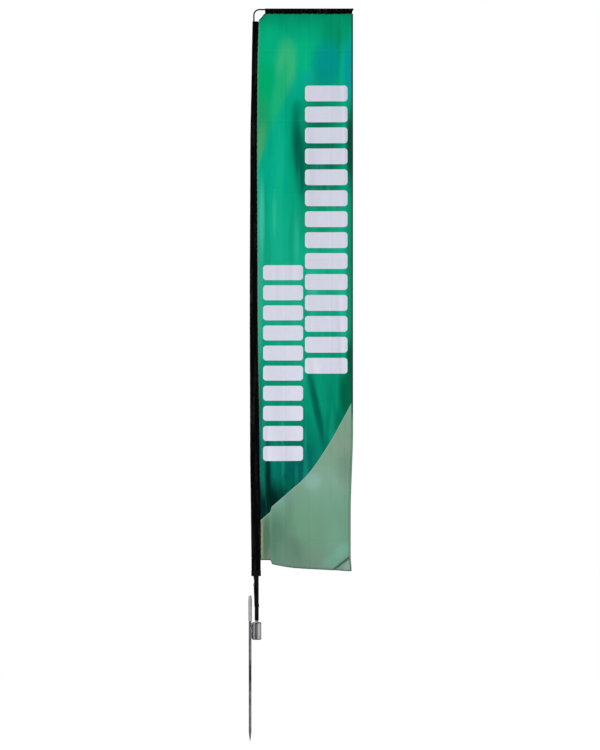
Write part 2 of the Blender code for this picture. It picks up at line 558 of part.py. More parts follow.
def main():
    clear_scene()
    looks = {
        "zinc_steel": material("zinc_steel", (0.42, 0.42, 0.40), 0.42, 1.0),
        "bright_steel": material("bright_steel", (0.62, 0.62, 0.61), 0.32, 1.0),
        "chrome": material("chrome", (0.78, 0.78, 0.80), 0.12, 1.0),
        "dark_steel": material("dark_steel", (0.30, 0.30, 0.31), 0.35, 1.0),
        "bearing_steel": material("bearing_steel", (0.70, 0.70, 0.72), 0.15, 1.0),
        "alloy": material("alloy", (0.60, 0.60, 0.62), 0.35, 1.0),
        "rubber": material("rubber", (0.02, 0.02, 0.02), 0.80),
        "black_nylon": material("black_nylon", (0.02, 0.02, 0.02), 0.50),
        "black_pole": material("black_pole", (0.015, 0.015, 0.017), 0.35),
        "dark_rod": material("dark_rod", (0.05, 0.05, 0.05), 0.40),
        "black_fabric": material("black_fabric", (0.01, 0.01, 0.012), 0.85),
        "black_webbing": material("black_webbing", (0.015, 0.015, 0.015), 0.80),
        "black_elastic": material("black_elastic", (0.012, 0.012, 0.012), 0.75),
        "edge_tape": material("edge_tape", (0.02, 0.16, 0.10), 0.75),
        "printed_cloth": material("printed_cloth", (0.00, 0.42, 0.22), 0.60),
    }
    swivel = pivot("swivel_axis", (SWIVEL_X, 0, 0))
    lift = pivot("pole_lift_axis", (SWIVEL_X, 0, 0))
    build_stake(looks)
    build_housing(looks)
    build_bearing("lower", LOWER_BEARING_Z, looks, swivel)
    build_bearing("upper", UPPER_BEARING_Z, looks, swivel)
    build_spindle(looks, swivel)
    build_pole(looks, lift)
    build_arm(looks, lift)
    build_sleeves(looks, lift)
    build_flag(looks, lift)
    build_tensioner(looks, lift)


main()
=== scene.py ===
"""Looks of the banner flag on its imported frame: cloth, sleeves, tensioner, pole, rotator and stake."""
import math

import bmesh
import bpy
import numpy as np
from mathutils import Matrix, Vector, noise


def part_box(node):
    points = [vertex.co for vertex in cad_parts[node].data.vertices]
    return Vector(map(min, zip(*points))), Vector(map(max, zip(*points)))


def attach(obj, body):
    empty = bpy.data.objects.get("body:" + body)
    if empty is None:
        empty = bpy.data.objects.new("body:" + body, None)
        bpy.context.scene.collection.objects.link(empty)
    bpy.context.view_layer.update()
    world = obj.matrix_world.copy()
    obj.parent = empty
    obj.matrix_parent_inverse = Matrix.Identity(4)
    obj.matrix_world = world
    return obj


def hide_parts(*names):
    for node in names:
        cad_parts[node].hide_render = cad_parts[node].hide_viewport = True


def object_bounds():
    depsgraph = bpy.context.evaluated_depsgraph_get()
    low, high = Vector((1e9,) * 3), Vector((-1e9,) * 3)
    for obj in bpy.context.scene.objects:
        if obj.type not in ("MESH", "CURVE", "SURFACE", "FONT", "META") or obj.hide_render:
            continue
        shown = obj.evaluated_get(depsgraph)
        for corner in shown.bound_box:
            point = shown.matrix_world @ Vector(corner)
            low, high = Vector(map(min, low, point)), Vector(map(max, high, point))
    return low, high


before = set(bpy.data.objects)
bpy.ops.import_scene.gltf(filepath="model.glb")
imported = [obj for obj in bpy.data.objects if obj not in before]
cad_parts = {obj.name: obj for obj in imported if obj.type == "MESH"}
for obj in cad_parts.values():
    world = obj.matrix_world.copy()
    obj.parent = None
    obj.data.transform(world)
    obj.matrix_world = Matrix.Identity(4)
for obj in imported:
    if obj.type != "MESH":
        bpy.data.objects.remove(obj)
cad_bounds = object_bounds()

# Camera, a long lens straight in front of the flag
CAMERA_DISTANCE = 12.0
CAMERA_X, CAMERA_Z = 0.2495, 1.322
FRAME_HEIGHT = 3.75
SENSOR = 36.0
FLOOR_RADIUS = 3.0
WHITE = (1.0, 1.0, 1.0, 1.0)

# Where the CAD puts things
housing_low, housing_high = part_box("rotator_housing")
sleeve_low, sleeve_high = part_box("pole_sleeve")
arm_low, arm_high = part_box("top_arm")
top_sleeve_low, top_sleeve_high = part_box("top_sleeve")
stake_low, stake_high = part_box("stake_rod")
head_low, head_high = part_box("driving_head")
base_low, base_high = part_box("pole_base_section")
SWIVEL_X = (housing_low.x + housing_high.x) / 2
ON_SWIVEL = (SWIVEL_X, 0, 0)
HOUSING_RADIUS = (housing_high.y - housing_low.y) / 2
STAKE_RADIUS = stake_high.x
HEAD_RADIUS = head_high.x
ARM_Z = (arm_low.z + arm_high.z) / 2
ROD_RADIUS = (arm_high.z - arm_low.z) / 2
SEAM_Z = top_sleeve_low.z
BEND_RADIUS = 0.028

# The pole: its outer radii, and the bow that the flag's pull gives it
BASE_RADIUS, UPPER_RADIUS = 0.0102, 0.0056
BOW, BOW_START, BOW_END, BOW_RETURN = 0.0158, 0.25, 2.20, 0.0020

# Cloth outline, as the CAD has it
FLY_UPPER, FLY_LOWER, FLY_CORNER = 0.5140, 0.5020, 0.0040
HEM_LOW, HEM_RISE, HEM_LENGTH = 0.341, 0.0365, 0.15
PANEL_BOTTOM, PANEL_EDGE, PANEL_STEP = 0.3975, 0.102, 0.110
FOOT_LEFT = 0.0525
TURN_FOOT, TURN_SIDE = (0.4145, 0.3495), (0.622, 0.783)     # crease of the turned corner, and its normal
CORNER_FOOT, CORNER_HEAD = (0.0443, 3.0970), (0.0715, SEAM_Z)
CORNER_HOLLOW = 0.0024
PLEAT_WIDTH = 0.023                  # cloth taken up by the pleat near the pole
PLEAT_TOP, PLEAT_FADE = 0.66, 0.75
CLOTH_THICKNESS = 0.0006
FIT = 0.0003                         # clearance between pieces that fit together
DEPTH_LIMIT = 0.031                  # how far the cloth may billow out of the pole's plane
COLUMNS, ROWS = 96, 500

# Tensioner, whose own frame stands on the pole's axis with -Y out in front
TENSIONER_TURN = math.radians(-14)
TENSIONER_Y = -0.0172
STRAP_Y = TENSIONER_Y + 0.0004
RING_TOP, RING_BOTTOM, RING_HALF, RING_WIRE = 0.279, 0.2690, 0.0110, 0.0015
STRAP_WIDTH, STRAP_THICKNESS = 0.018, 0.0014
HOOK_Z, HOOK_RADIUS, ELASTIC_RADIUS, ELASTIC_LEAN = 0.170, 0.0030, 0.0022, 0.0073


def srgb(red, green, blue, gain=1.0):
    """Linear colour from 0-255 screen values."""
    parts = []
    for value in (red, green, blue):
        value /= 255.0
        parts.append(gain * (value / 12.92 if value <= 0.04045 else ((value + 0.055) / 1.055) ** 2.4))
    return (*parts, 1.0)


def smoothstep(low, high, value):
    t = np.clip((np.asarray(value, float) - low) / (high - low), 0.0, 1.0)
    return t * t * (3 - 2 * t)


# ---------------------------------------------------------------- materials

class Signal:
    """A value that varies over a surface, with the arithmetic that nodes give it."""

    def __init__(self, nodes, socket):
        self.nodes = nodes
        self.socket = socket

    def __add__(self, other):
        return self.nodes.math("ADD", self, other)

    def __sub__(self, other):
        return self.nodes.math("SUBTRACT", self, other)

    def __mul__(self, other):
        return self.nodes.math("MULTIPLY", self, other)

    def __abs__(self):
        return self.nodes.math("ABSOLUTE", self)

    def span(self, low, high, start=0.0, end=1.0, smooth=False):
        """Carry low to start and high to end, and hold the value beyond them."""
        kind = "SMOOTHSTEP" if smooth else "LINEAR"
        inputs = {0: self, 1: low, 2: high, 3: start, 4: end}
        return self.nodes.signal("MapRange", 0, inputs, interpolation_type=kind)


class Nodes:
    """A node tree, with short calls that add to it."""

    def __init__(self, tree):
        self.tree = tree

    def put(self, value, socket):
        if isinstance(value, Signal):
            self.tree.links.new(value.socket, socket)
        else:
            socket.default_value = value

    def node(self, kind, inputs=(), **settings):
        """Add a node. inputs pairs a socket's name or number with a value or a signal."""
        made = self.tree.nodes.new("ShaderNode" + kind)
        for name, value in settings.items():
            setattr(made, name, value)
        for name, value in dict(inputs).items():
            self.put(value, made.inputs[name])
        return made

    def signal(self, kind, output, inputs=(), **settings):
        return Signal(self, self.node(kind, inputs, **settings).outputs[output])

    def math(self, operation, *values):
        return self.signal("Math", 0, enumerate(values), operation=operation)

    def mix(self, factor, first, second):
        return self.signal("Mix", 2, {0: factor, 6: first, 7: second}, data_type="RGBA")

    def ramp(self, factor, stops):
        made = self.node("ValToRGB", {"Fac": factor})
        elements = made.color_ramp.elements
        while len(elements) < len(stops):
            elements.new(0.5)
        for element, (place, colour) in zip(elements, stops):
            element.position = place
            element.color = colour
        return Signal(self, made.outputs["Color"])

    def parts(self, vector):
        return [Signal(self, output) for output in self.node("SeparateXYZ", {0: vector}).outputs]

    def noise(self, vector, scale, detail=3.0):
        """Soft noise. Three scales stretch it."""
        if isinstance(scale, tuple):
            vector = self.signal("Mapping", 0, {"Vector": vector, "Scale": scale})
            scale = 1.0
        return self.signal("TexNoise", "Fac", {"Vector": vector, "Scale": scale, "Detail": detail})

    def threads(self, vector, pitch, direction):
        """Rows of round threads, one to a pitch."""
        inputs = {"Vector": vector, "Scale": math.tau / (20 * pitch)}
        return self.signal("TexWave", "Fac", inputs, bands_direction=direction)

    def bump(self, height, strength, distance, under=None):
        inputs = {"Height": height, "Strength": strength, "Distance": distance}
        if under is not None:
            inputs["Normal"] = under
        return self.signal("Bump", 0, inputs)


class Shader(Nodes):
    """A material with one Principled surface."""

    def __init__(self, name, roughness, **extra):
        self.material = bpy.data.materials.new(name)
        self.material.use_nodes = True
        super().__init__(self.material.node_tree)
        self.surface = self.tree.nodes["Principled BSDF"]
        self.place = self.signal("TexCoord", "Object")
        for socket, value in {"Roughness": roughness, **extra}.items():
            self.surface.inputs[socket.replace("_", " ")].default_value = value

    def finish(self, colour, roughness, normal):
        for value, name in ((colour, "Base Color"), (roughness, "Roughness"), (normal, "Normal")):
            self.put(value, self.surface.inputs[name])
        return self.material


def woven(name, colour, lighter, pitch, roughness):
    """Dyed fabric: plain weave, with lighter streaks along its length broken into patches: painted sheen of
    its folds.
    """
    cloth = Shader(name, roughness, Sheen_Weight=0.008, Sheen_Roughness=0.4, Specular_IOR_Level=0.04)
    streaks = cloth.noise(cloth.place, (70, 70, 5), 4.0)
    streak_breakup = cloth.noise(cloth.place, 35.0, 5.0)
    # The lighter colour in these streaks is painted sheen of the fabric's folds.
    colour = cloth.mix(streaks.span(0.46, 0.64) * streak_breakup.span(0.30, 0.60), colour, lighter)
    weave = cloth.threads(cloth.place, pitch, "X") * cloth.threads(cloth.place, pitch, "Z")
    rough = weave.span(0.0, 1.0, roughness + 0.08, roughness - 0.12)
    return cloth.finish(colour, rough, cloth.bump(weave, 0.35, pitch * 0.3))


def webbing(name, colour, lighter, rib=0.0016):
    """Narrow woven tape with crosswise ribs."""
    tape = Shader(name, 0.75, Sheen_Weight=0.03, Specular_IOR_Level=0.07)
    ribs = tape.threads(tape.place, rib, "Z")
    fuzz = tape.noise(tape.place, 900.0, 2.0)
    colour = tape.mix(ribs * fuzz.span(0.35, 0.75), colour, lighter)
    return tape.finish(colour, fuzz.span(0.3, 0.7, 0.65, 0.85), tape.bump(ribs, 0.6, 0.0004))


def metal(name, colour, darker, roughness, stretch=(300, 300, 12), grime=None, metallic=1.0):
    """Steel with fine lines drawn along or turned round it, dull patches and, between two heights, soil."""
    steel = Shader(name, roughness, Metallic=metallic)
    lines = steel.noise(steel.place, stretch)
    colour = steel.mix(steel.noise(steel.place, 28.0, 6.0).span(0.42, 0.7), colour, darker)
    rough = lines.span(0.3, 0.7, roughness * 0.8, roughness * 1.3)
    if grime is not None:
        low, high = grime
        ragged = steel.parts(steel.place)[2] + steel.noise(steel.place, 45.0).span(0, 1, -0.05, 0.05)
        over = ragged.span(low - 0.05, low + 0.03, smooth=True)
        soiled = over * ragged.span(high + 0.03, high - 0.05, smooth=True)
        colour = steel.mix(soiled * 0.92, colour, srgb(66, 64, 62))
        rough = rough + soiled * 0.25
    return steel.finish(colour, rough, steel.bump(lines, 0.12, 0.0002))


def moulded(name, colour, roughness, grain=700.0):
    """Black moulded plastic or glass fibre with a fine grain and a few dull scuffs."""
    plastic = Shader(name, roughness, Specular_IOR_Level=0.12)
    scuffs = plastic.noise(plastic.place, (80, 80, 25), 5.0)
    lighter = [min(1.0, c * 1.8 + 0.008) for c in colour[:3]] + [1.0]
    rough = scuffs.span(0.3, 0.75, roughness * 0.85, min(1.0, roughness * 1.4))
    colour = plastic.mix(scuffs.span(0.55, 0.75), colour, lighter)
    return plastic.finish(colour, rough, plastic.bump(plastic.noise(plastic.place, grain, 2.0), 0.15, 0.0001))


# The print: colours by height, then soft oval patches over them. A patch is its centre (across, up), its half
# sizes, its tilt in degrees, its screen colour and how strongly it covers.
GREEN_STOPS = (
    (0.62, (7, 44, 40)), (0.70, (4, 56, 50)), (0.76, (3, 82, 73)), (0.86, (2, 98, 90)), (0.93, (2, 106, 93)),
    (1.02, (3, 126, 103)), (1.16, (4, 142, 110)), (1.30, (6, 148, 114)), (1.48, (12, 164, 130)),
    (1.75, (24, 178, 142)), (2.05, (14, 184, 144)), (2.28, (4, 178, 140)), (2.45, (2, 178, 138)),
    (2.65, (2, 180, 136)), (2.85, (4, 186, 136)), (2.97, (4, 188, 136)), (3.05, (2, 174, 127)),
    (3.12, (2, 150, 107)),
)
GREEN_PATCHES = (
    (0.07, 2.78, 0.060, 0.30, 0, (0, 182, 114), 0.9),
    (0.11, 2.96, 0.10, 0.12, 0, (4, 188, 134), 0.8),
    (0.184, 2.87, 0.062, 0.14, 0, (62, 200, 134), 1.0),
    (0.144, 2.72, 0.040, 0.20, -12, (32, 192, 128), 0.95),
    (0.262, 2.88, 0.045, 0.10, 0, (4, 192, 134), 0.9),
    (0.420, 3.02, 0.080, 0.13, 0, (2, 150, 104), 0.8),
    (0.385, 2.875, 0.085, 0.14, 0, (0, 158, 150), 1.0),
    (0.498, 2.855, 0.040, 0.17, 0, (4, 170, 166), 1.0),
    (0.290, 2.805, 0.032, 0.060, 0, (8, 182, 160), 0.9),
    (0.232, 2.72, 0.040, 0.16, -6, (2, 180, 148), 0.8),
    (0.235, 2.65, 0.030, 0.06, 0, (0, 148, 114), 0.8),
    (0.057, 2.58, 0.045, 0.16, 0, (36, 170, 112), 0.9),
    (0.050, 2.48, 0.024, 0.12, -8, (74, 178, 114), 0.9),
    (0.130, 2.42, 0.060, 0.26, -6, (4, 186, 148), 0.8),
    (0.350, 2.40, 0.140, 0.40, 0, (12, 112, 84), 0.95),
    (0.246, 2.42, 0.036, 0.24, 6, (0, 108, 84), 1.0),
    (0.350, 2.08, 0.14, 0.16, 0, (16, 156, 114), 0.8),
    (0.0580, 2.10, 0.016, 0.22, 0, (70, 206, 178), 0.8),
    (0.1220, 2.13, 0.012, 0.12, 0, (56, 198, 158), 0.6),
    (0.2300, 2.00, 0.016, 0.14, 0, (48, 198, 158), 0.5),
    (0.310, 1.74, 0.034, 0.12, 0, (54, 194, 158), 0.8),
    (0.0520, 1.70, 0.016, 0.34, 0, (54, 178, 142), 0.6),
    # These three patches at across 0.5 darken the strip beside the fly hem: partly the print's margin, partly
    # painted shade of the hem.
    (0.5000, 1.60, 0.024, 0.80, 0, (22, 130, 92), 0.7),
    (0.5000, 2.46, 0.022, 0.24, 0, (12, 78, 60), 1.0),
    (0.5000, 1.38, 0.022, 0.14, 0, (8, 88, 60), 1.0),
    (0.480, 1.22, 0.045, 0.16, 0, (2, 96, 64), 0.9),
    (0.430, 1.09, 0.06, 0.08, 30, (2, 108, 82), 0.7),
    (0.334, 1.15, 0.022, 0.26, 12, (0, 98, 80), 0.95),
    (0.405, 1.16, 0.03, 0.12, 0, (0, 140, 110), 0.7),
    (0.215, 0.88, 0.09, 0.09, 0, (2, 98, 92), 0.6),
    (0.086, 0.81, 0.022, 0.22, 0, (0, 42, 40), 1.0),
    (0.100, 0.68, 0.07, 0.12, 0, (1, 34, 31), 1.0),
    (0.046, 0.95, 0.018, 0.40, 0, (16, 100, 92), 0.9),
    (0.050, 0.66, 0.024, 0.16, 0, (3, 40, 36), 1.0),
)
SAGE_STOPS = (
    (0.33, (114, 140, 124)), (0.42, (112, 148, 126)), (0.50, (112, 152, 128)), (0.60, (113, 155, 130)),
    (0.70, (118, 161, 139)), (0.80, (129, 168, 147)), (0.95, (126, 162, 138)), (1.15, (134, 172, 150)),
)
SAGE_PATCHES = (
    (0.46, 0.97, 0.06, 0.14, 30, (138, 166, 146), 0.8),
    (0.48, 0.86, 0.06, 0.10, 0, (118, 150, 130), 0.7),
    (0.310, 0.79, 0.05, 0.05, -40, (138, 178, 164), 0.9),
    (0.170, 0.71, 0.04, 0.05, -40, (124, 168, 152), 0.8),
    (0.250, 0.60, 0.06, 0.12, 0, (116, 164, 134), 0.6),
    (0.130, 0.50, 0.070, 0.16, 0, (88, 130, 108), 1.0),
    (0.200, 0.44, 0.080, 0.08, 0, (102, 136, 116), 0.8),
    (0.430, 0.52, 0.06, 0.12, 0, (112, 160, 138), 0.6),
    (0.420, 0.400, 0.075, 0.040, 38, (110, 164, 144), 0.6),
    (0.470, 0.450, 0.055, 0.036, 40, (118, 172, 154), 0.6),
    (0.500, 0.362, 0.045, 0.036, 0, (140, 160, 150), 0.9),
    (0.058, 0.50, 0.030, 0.16, 0, (84, 116, 92), 1.0),
    (0.036, 0.50, 0.007, 0.13, 0, (150, 152, 126), 0.9),
    (0.075, 0.42, 0.018, 0.05, 0, (120, 122, 108), 0.6),
)
# Where the cloth was folded up for packing: distances across it and heights
CREASES_ACROSS = (0.172, 0.288, 0.400, 0.468)
CREASES_UP = (0.50, 0.85, 1.20, 1.55, 1.90, 2.24, 2.59, 2.94)
# Edge between green and sage: height of the line at each distance across the cloth
WAVE_LINE = ((0.02, 0.588), (0.11, 0.6655), (0.1865, 0.732), (0.2825, 0.8185), (0.378, 0.9525),
             (0.4735, 1.12), (0.52, 1.208))
# Plain rounded bars in two columns: left and right edge, lowest edge, how many, and step
BAR_COLUMNS = ((0.0650, 0.2645, 0.8920, 10, 0.1005), (0.2745, 0.4870, 1.3290, 14, 0.1047))
BAR_GAP, BAR_CORNER = 0.026, 0.016
BAR_COLOUR = (225, 226, 242)
# Edge tape colours by height; the deep green rows and the dark foot are partly dye, partly painted shade of
# the folded hem.
TAPE_STOPS = (
    (0.33, (70, 96, 82)), (0.42, (112, 142, 124)), (1.08, (112, 148, 126)), (1.14, (8, 60, 46)),
    (1.35, (8, 62, 46)), (1.70, (14, 96, 72)), (2.20, (14, 90, 68)), (2.40, (8, 52, 40)), (2.70, (8, 84, 62)),
    (3.12, (8, 88, 64)),
)
PRINT_GAIN = 0.97


def tinted(*colour):
    return srgb(*colour, gain=PRINT_GAIN)


def patches(cloth, where, colour, spots):
    """Lay soft-edged oval patches of colour over a colour."""
    for across, up, half_x, half_y, tilt, tint, strength in spots:
        inputs = {"Vector": where, "Location": (across, up, 0), "Rotation": (0, 0, math.radians(tilt)),
                  "Scale": (half_x * 1.25, half_y * 1.25, 1)}
        local = cloth.signal("Mapping", 0, inputs, vector_type="TEXTURE")
        ball = cloth.signal("TexGradient", "Fac", {"Vector": local}, gradient_type="SPHERICAL")
        colour = cloth.mix(ball.span(0.0, 0.75, 0.0, strength, smooth=True), colour, tinted(*tint))
    return colour


def by_height(cloth, up, stops):
    low, high = stops[0][0], stops[-1][0]
    return cloth.ramp(up.span(low, high), [((z - low) / (high - low), tinted(*c)) for z, c in stops])


def bar_cover(cloth, across, up, column):
    """1 inside the plain rounded bars of one column, 0 outside."""
    left, right, low, count, step = column
    half_x, half_y = (right - left) / 2, (step - BAR_GAP) / 2
    aside = abs(across - (left + right) / 2)
    rise = abs(cloth.math("FLOORED_MODULO", up - low, step) - half_y)
    out_x = cloth.math("MAXIMUM", aside - (half_x - BAR_CORNER), 0.0)
    out_y = cloth.math("MAXIMUM", rise - (half_y - BAR_CORNER), 0.0)
    inside = cloth.math("LESS_THAN", cloth.math("SQRT", out_x * out_x + out_y * out_y), BAR_CORNER)
    above = cloth.math("GREATER_THAN", up, low - 0.001)
    return inside * above * cloth.math("LESS_THAN", up, low + count * step - BAR_GAP + 0.001)


def wave_line(cloth, across):
    """Height of the line between green and sage, from a drawn curve."""
    (x0, z0), (x1, z1) = WAVE_LINE[0], WAVE_LINE[-1]
    curve = cloth.node("FloatCurve", {"Value": across.span(x0, x1)})
    points = curve.mapping.curves[0].points
    while len(points) < len(WAVE_LINE):
        points.new(0.5, 0.5)
    for point, (x, z) in zip(points, WAVE_LINE):
        point.location = ((x - x0) / (x1 - x0), (z - z0) / (z1 - z0))
    curve.mapping.update()
    return Signal(cloth, curve.outputs[0]).span(0.0, 1.0, z0, z1)


def beyond_crease(x, z):
    """Distance beyond the line along which the bottom corner is turned."""
    return (x - TURN_FOOT[0]) * TURN_SIDE[0] - (z - TURN_FOOT[1]) * TURN_SIDE[1]


def printed(name, rear=False):
    """Dye-printed knitted polyester. The rear shows the same print through, a little paler."""
    cloth = Shader(name, 0.62, Sheen_Weight=0.03, Sheen_Roughness=0.35, Sheen_Tint=(0.1, 0.6, 0.4, 1.0),
                   Specular_IOR_Level=0.05, Specular_Tint=(0.2, 1.0, 0.7, 1.0))
    where = cloth.signal("Attribute", "Vector", attribute_name="cloth")
    across, up, from_sleeve = cloth.parts(where)
    to_fly, to_foot, to_top = cloth.parts(cloth.signal("Attribute", "Vector", attribute_name="rims"))
    x, _, z = cloth.parts(cloth.place)
    shown = cloth.signal("CombineXYZ", 0, {"X": x, "Y": z})

    green = by_height(cloth, up, GREEN_STOPS)
    cloudy = cloth.noise(shown, (10.5, 3.6, 1.5))
    green = cloth.mix(cloudy.span(0.45, 0.7, 0.0, 0.22), green, tinted(10, 188, 146))
    green = patches(cloth, shown, green, GREEN_PATCHES)
    streaks = cloth.noise(shown, (17.0, 1.6, 1))
    streaky = up.span(2.75, 2.45, 0.06, 0.20)
    green = cloth.mix(streaks.span(0.50, 0.64, smooth=True) * streaky, green, tinted(0, 120, 92))
    green = cloth.mix(streaks.span(0.46, 0.34, smooth=True) * streaky, green, tinted(40, 200, 160))
    # Paler strip just beside the pole sleeve, from about 1 m up: painted highlight.
    sleeve_side_highlight = from_sleeve.span(0.0015, 0.0085, 0.45, 0.0, smooth=True) * up.span(0.95, 1.45)
    green = cloth.mix(sleeve_side_highlight, green, tinted(146, 168, 152))
    for column in BAR_COLUMNS:
        green = cloth.mix(bar_cover(cloth, across, up, column), green, tinted(*BAR_COLOUR))

    sage = patches(cloth, where, by_height(cloth, up, SAGE_STOPS), SAGE_PATCHES)
    above = up - wave_line(cloth, across)
    colour = cloth.mix(above.span(-0.0012, 0.0012), sage, green)
    colour = cloth.mix(abs(above + 0.003).span(0.0035, 0.0005, 0.0, 0.6), colour, tinted(158, 198, 186))
    # Dark line along the crease where the bottom corner is turned: painted shade in the fold.
    turned = abs(beyond_crease(across, up) - 0.002)
    colour = cloth.mix(turned.span(0.0085, 0.0010, 0.0, 0.9, smooth=True), colour, tinted(58, 94, 80))
    wander = cloth.noise(where, 18.0).span(0.3, 0.7, -0.0015, 0.0015)
    # Darker line 8 to 13 mm inside the fly edge, along the hem stitching: painted shade of the stitched hem.
    sewn = (to_fly + wander).span(0.0130, 0.0080, 0.0, 0.22, smooth=True)
    colour = cloth.mix(sewn, colour, tinted(12, 70, 54))
    # Darker line along the bottom edge, strongest within 1 mm of it: painted shade of the bottom hem.
    foot = (to_foot + wander).span(0.0065, 0.0010, 0.0, 0.6, smooth=True)
    colour = cloth.mix(foot, colour, tinted(48, 74, 62))
    if rear:
        colour = cloth.mix(0.14, colour, tinted(205, 214, 208))
    grain = cloth.noise(where, 420.0, 2.0)
    colour = cloth.mix(grain.span(0.3, 0.7, 0.0, 0.07), colour, (0, 0, 0, 1))

    knit = cloth.threads(where, 0.0011, "X") * cloth.threads(where, 0.0008, "Y")
    normal = cloth.bump(knit, 0.25, 0.0002)
    normal = cloth.bump(cloth.noise(where, (30, 11, 1), 4.0), 0.28, 0.004, normal)
    bend = cloth.noise(where, 4.0).span(0.3, 0.7, -0.005, 0.005)
    for lines, along in ((CREASES_ACROSS, across), (CREASES_UP, up)):
        for line in lines:
            normal = cloth.bump(abs(along + bend - line).span(0.0090, 0.0), 0.55, 0.0016, normal)
    rim = cloth.math("MINIMUM", cloth.math("MINIMUM", to_fly, to_foot), to_top)
    normal = cloth.bump(rim.span(0.0090, 0.0105, smooth=True), 0.5, -0.0006, normal)
    return cloth.finish(colour, grain.span(0.3, 0.7, 0.56, 0.68), normal)


def edge_tape(name):
    """Woven edge tape coloured by height: deep green above, sage and then dark at the foot. The sage is the
    cloth's own colour; the deep green and the dark foot are partly dye and partly painted shade of the folded
    hem, and near the step it is darkened again with painted seam shade.
    """
    tape = Shader(name, 0.75, Sheen_Weight=0.02, Specular_IOR_Level=0.06)
    x, _, z = tape.parts(tape.place)
    colour = by_height(tape, z, TAPE_STOPS)
    # Darker towards the step at the left of the bottom hem: painted seam shade.
    colour = tape.mix(x.span(0.098, 0.150, 0.85, 0.0), colour, tinted(44, 54, 40))
    ribs = tape.threads(tape.place, 0.0012, "Z")
    fuzz = tape.noise(tape.place, 600.0, 2.0)
    colour = tape.mix(ribs * fuzz.span(0.3, 0.8, 0.0, 0.25), colour, tinted(120, 170, 146))
    worn = tape.noise(tape.place, (60, 60, 9), 4.0)
    colour = tape.mix(worn.span(0.5, 0.75, 0.0, 0.35), colour, tinted(10, 40, 30))
    return tape.finish(colour, fuzz.span(0.3, 0.7, 0.65, 0.85), tape.bump(ribs, 0.5, 0.0003))


LOOKS = {
    "print": printed("print_front"),
    "print_rear": printed("print_rear", rear=True),
    "hem": edge_tape("edge_tape_print"),
    "thread_green": webbing("thread_green", srgb(6, 84, 62), srgb(30, 120, 92), 0.0010),
    "thread_black": webbing("thread_black", srgb(18, 18, 19), srgb(44, 44, 46), 0.0010),
    # The sleeve's second colour is the painted sheen of its folds.
    "black_cloth": woven("sleeve_black", srgb(1, 1, 2), srgb(25, 25, 28), 0.0010, 0.58),
    "webbing": webbing("webbing_black", srgb(5, 5, 5), srgb(20, 20, 22)),
    "elastic": webbing("elastic_black", srgb(5, 5, 5), srgb(22, 22, 24), 0.0024),
    "zinc": metal("zinc_steel", srgb(166, 167, 166), srgb(128, 129, 128), 0.36, grime=(-0.235, -0.105)),
    "weld": metal("weld_bead", srgb(150, 150, 149), srgb(112, 111, 108), 0.45, (500, 500, 500)),
    "bright": metal("bright_steel", srgb(192, 192, 195), srgb(172, 172, 175), 0.34, metallic=0.45),
    "chrome": metal("chrome_plate", srgb(224, 224, 230), srgb(206, 206, 213), 0.12, (20, 20, 700)),
    "dark_steel": metal("dark_steel", srgb(124, 124, 130), srgb(92, 92, 98), 0.30, (20, 20, 700)),
    "blackened": metal("blackened_steel", srgb(46, 46, 48), srgb(30, 30, 32), 0.38),
    "bearing": metal("bearing_steel", srgb(205, 205, 208), srgb(180, 180, 184), 0.15, (20, 20, 700)),
    "alloy": metal("alloy", srgb(196, 197, 200), srgb(170, 171, 174), 0.35, (20, 20, 700)),
    "rubber": moulded("seal_rubber", srgb(14, 14, 14), 0.8, 400.0),
    "nylon": moulded("black_nylon", srgb(7, 7, 7), 0.45),
    "tube": moulded("fibre_tube", srgb(3, 3, 4), 0.42, 300.0),
    "rod": moulded("fibre_rod", srgb(22, 21, 22), 0.42, 300.0),
}


# ---------------------------------------------------------------- mesh helpers

def full_turn(count):
    """Angles that go once round."""
    return np.linspace(0, math.tau, count, endpoint=False)


def arc(across, up, radius, start, end, count):
    """Points along part of a circle."""
    angles = np.linspace(start, end, count)
    return [(across + radius * math.cos(a), up + radius * math.sin(a)) for a in angles]


def add_piece(name, data, look, node=None, body="pole"):
    """Put a finished piece in the scene, riding on a body and standing for a CAD node."""
    data.name = name
    data.materials.append(LOOKS[look])
    piece = bpy.data.objects.new(name, data)
    bpy.context.scene.collection.objects.link(piece)
    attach(piece, body)
    if node is not None:
        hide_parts(node)
    return piece


def grid_mesh(points, around=False, ends=False, closed=False):
    """Smooth mesh over rows x columns x 3 points. around joins each row's ends, closed joins the last row to
    the first, and ends caps the first and last rows."""
    rows, columns = points.shape[:2]
    faces = []
    for i in range(rows if closed else rows - 1):
        below, over = i * columns, (i + 1) % rows * columns
        for j in range(columns if around else columns - 1):
            k = (j + 1) % columns
            faces.append((below + j, below + k, over + k, over + j))
    if ends:
        faces.append(tuple(range(columns))[::-1])
        faces.append(tuple((rows - 1) * columns + j for j in range(columns)))
    mesh = bpy.data.meshes.new("grid")
    mesh.from_pydata([tuple(p) for p in points.reshape(-1, 3).tolist()], [], faces)
    mesh.update()
    mesh.shade_smooth()
    return mesh


def outward(mesh):
    """Make the faces of a closed mesh point out, and keep its hard edges hard."""
    shape = bmesh.new()
    shape.from_mesh(mesh)
    bmesh.ops.remove_doubles(shape, verts=shape.verts, dist=1e-6)
    bmesh.ops.recalc_face_normals(shape, faces=shape.faces)
    shape.to_mesh(mesh)
    shape.free()
    mesh.set_sharp_from_angle(angle=math.radians(35))
    return mesh


def solid(piece, thickness, offset=0.0, rear_slot=0):
    step = piece.modifiers.new("thickness", "SOLIDIFY")
    step.thickness = thickness
    step.offset = offset
    step.material_offset = rear_slot
    return piece


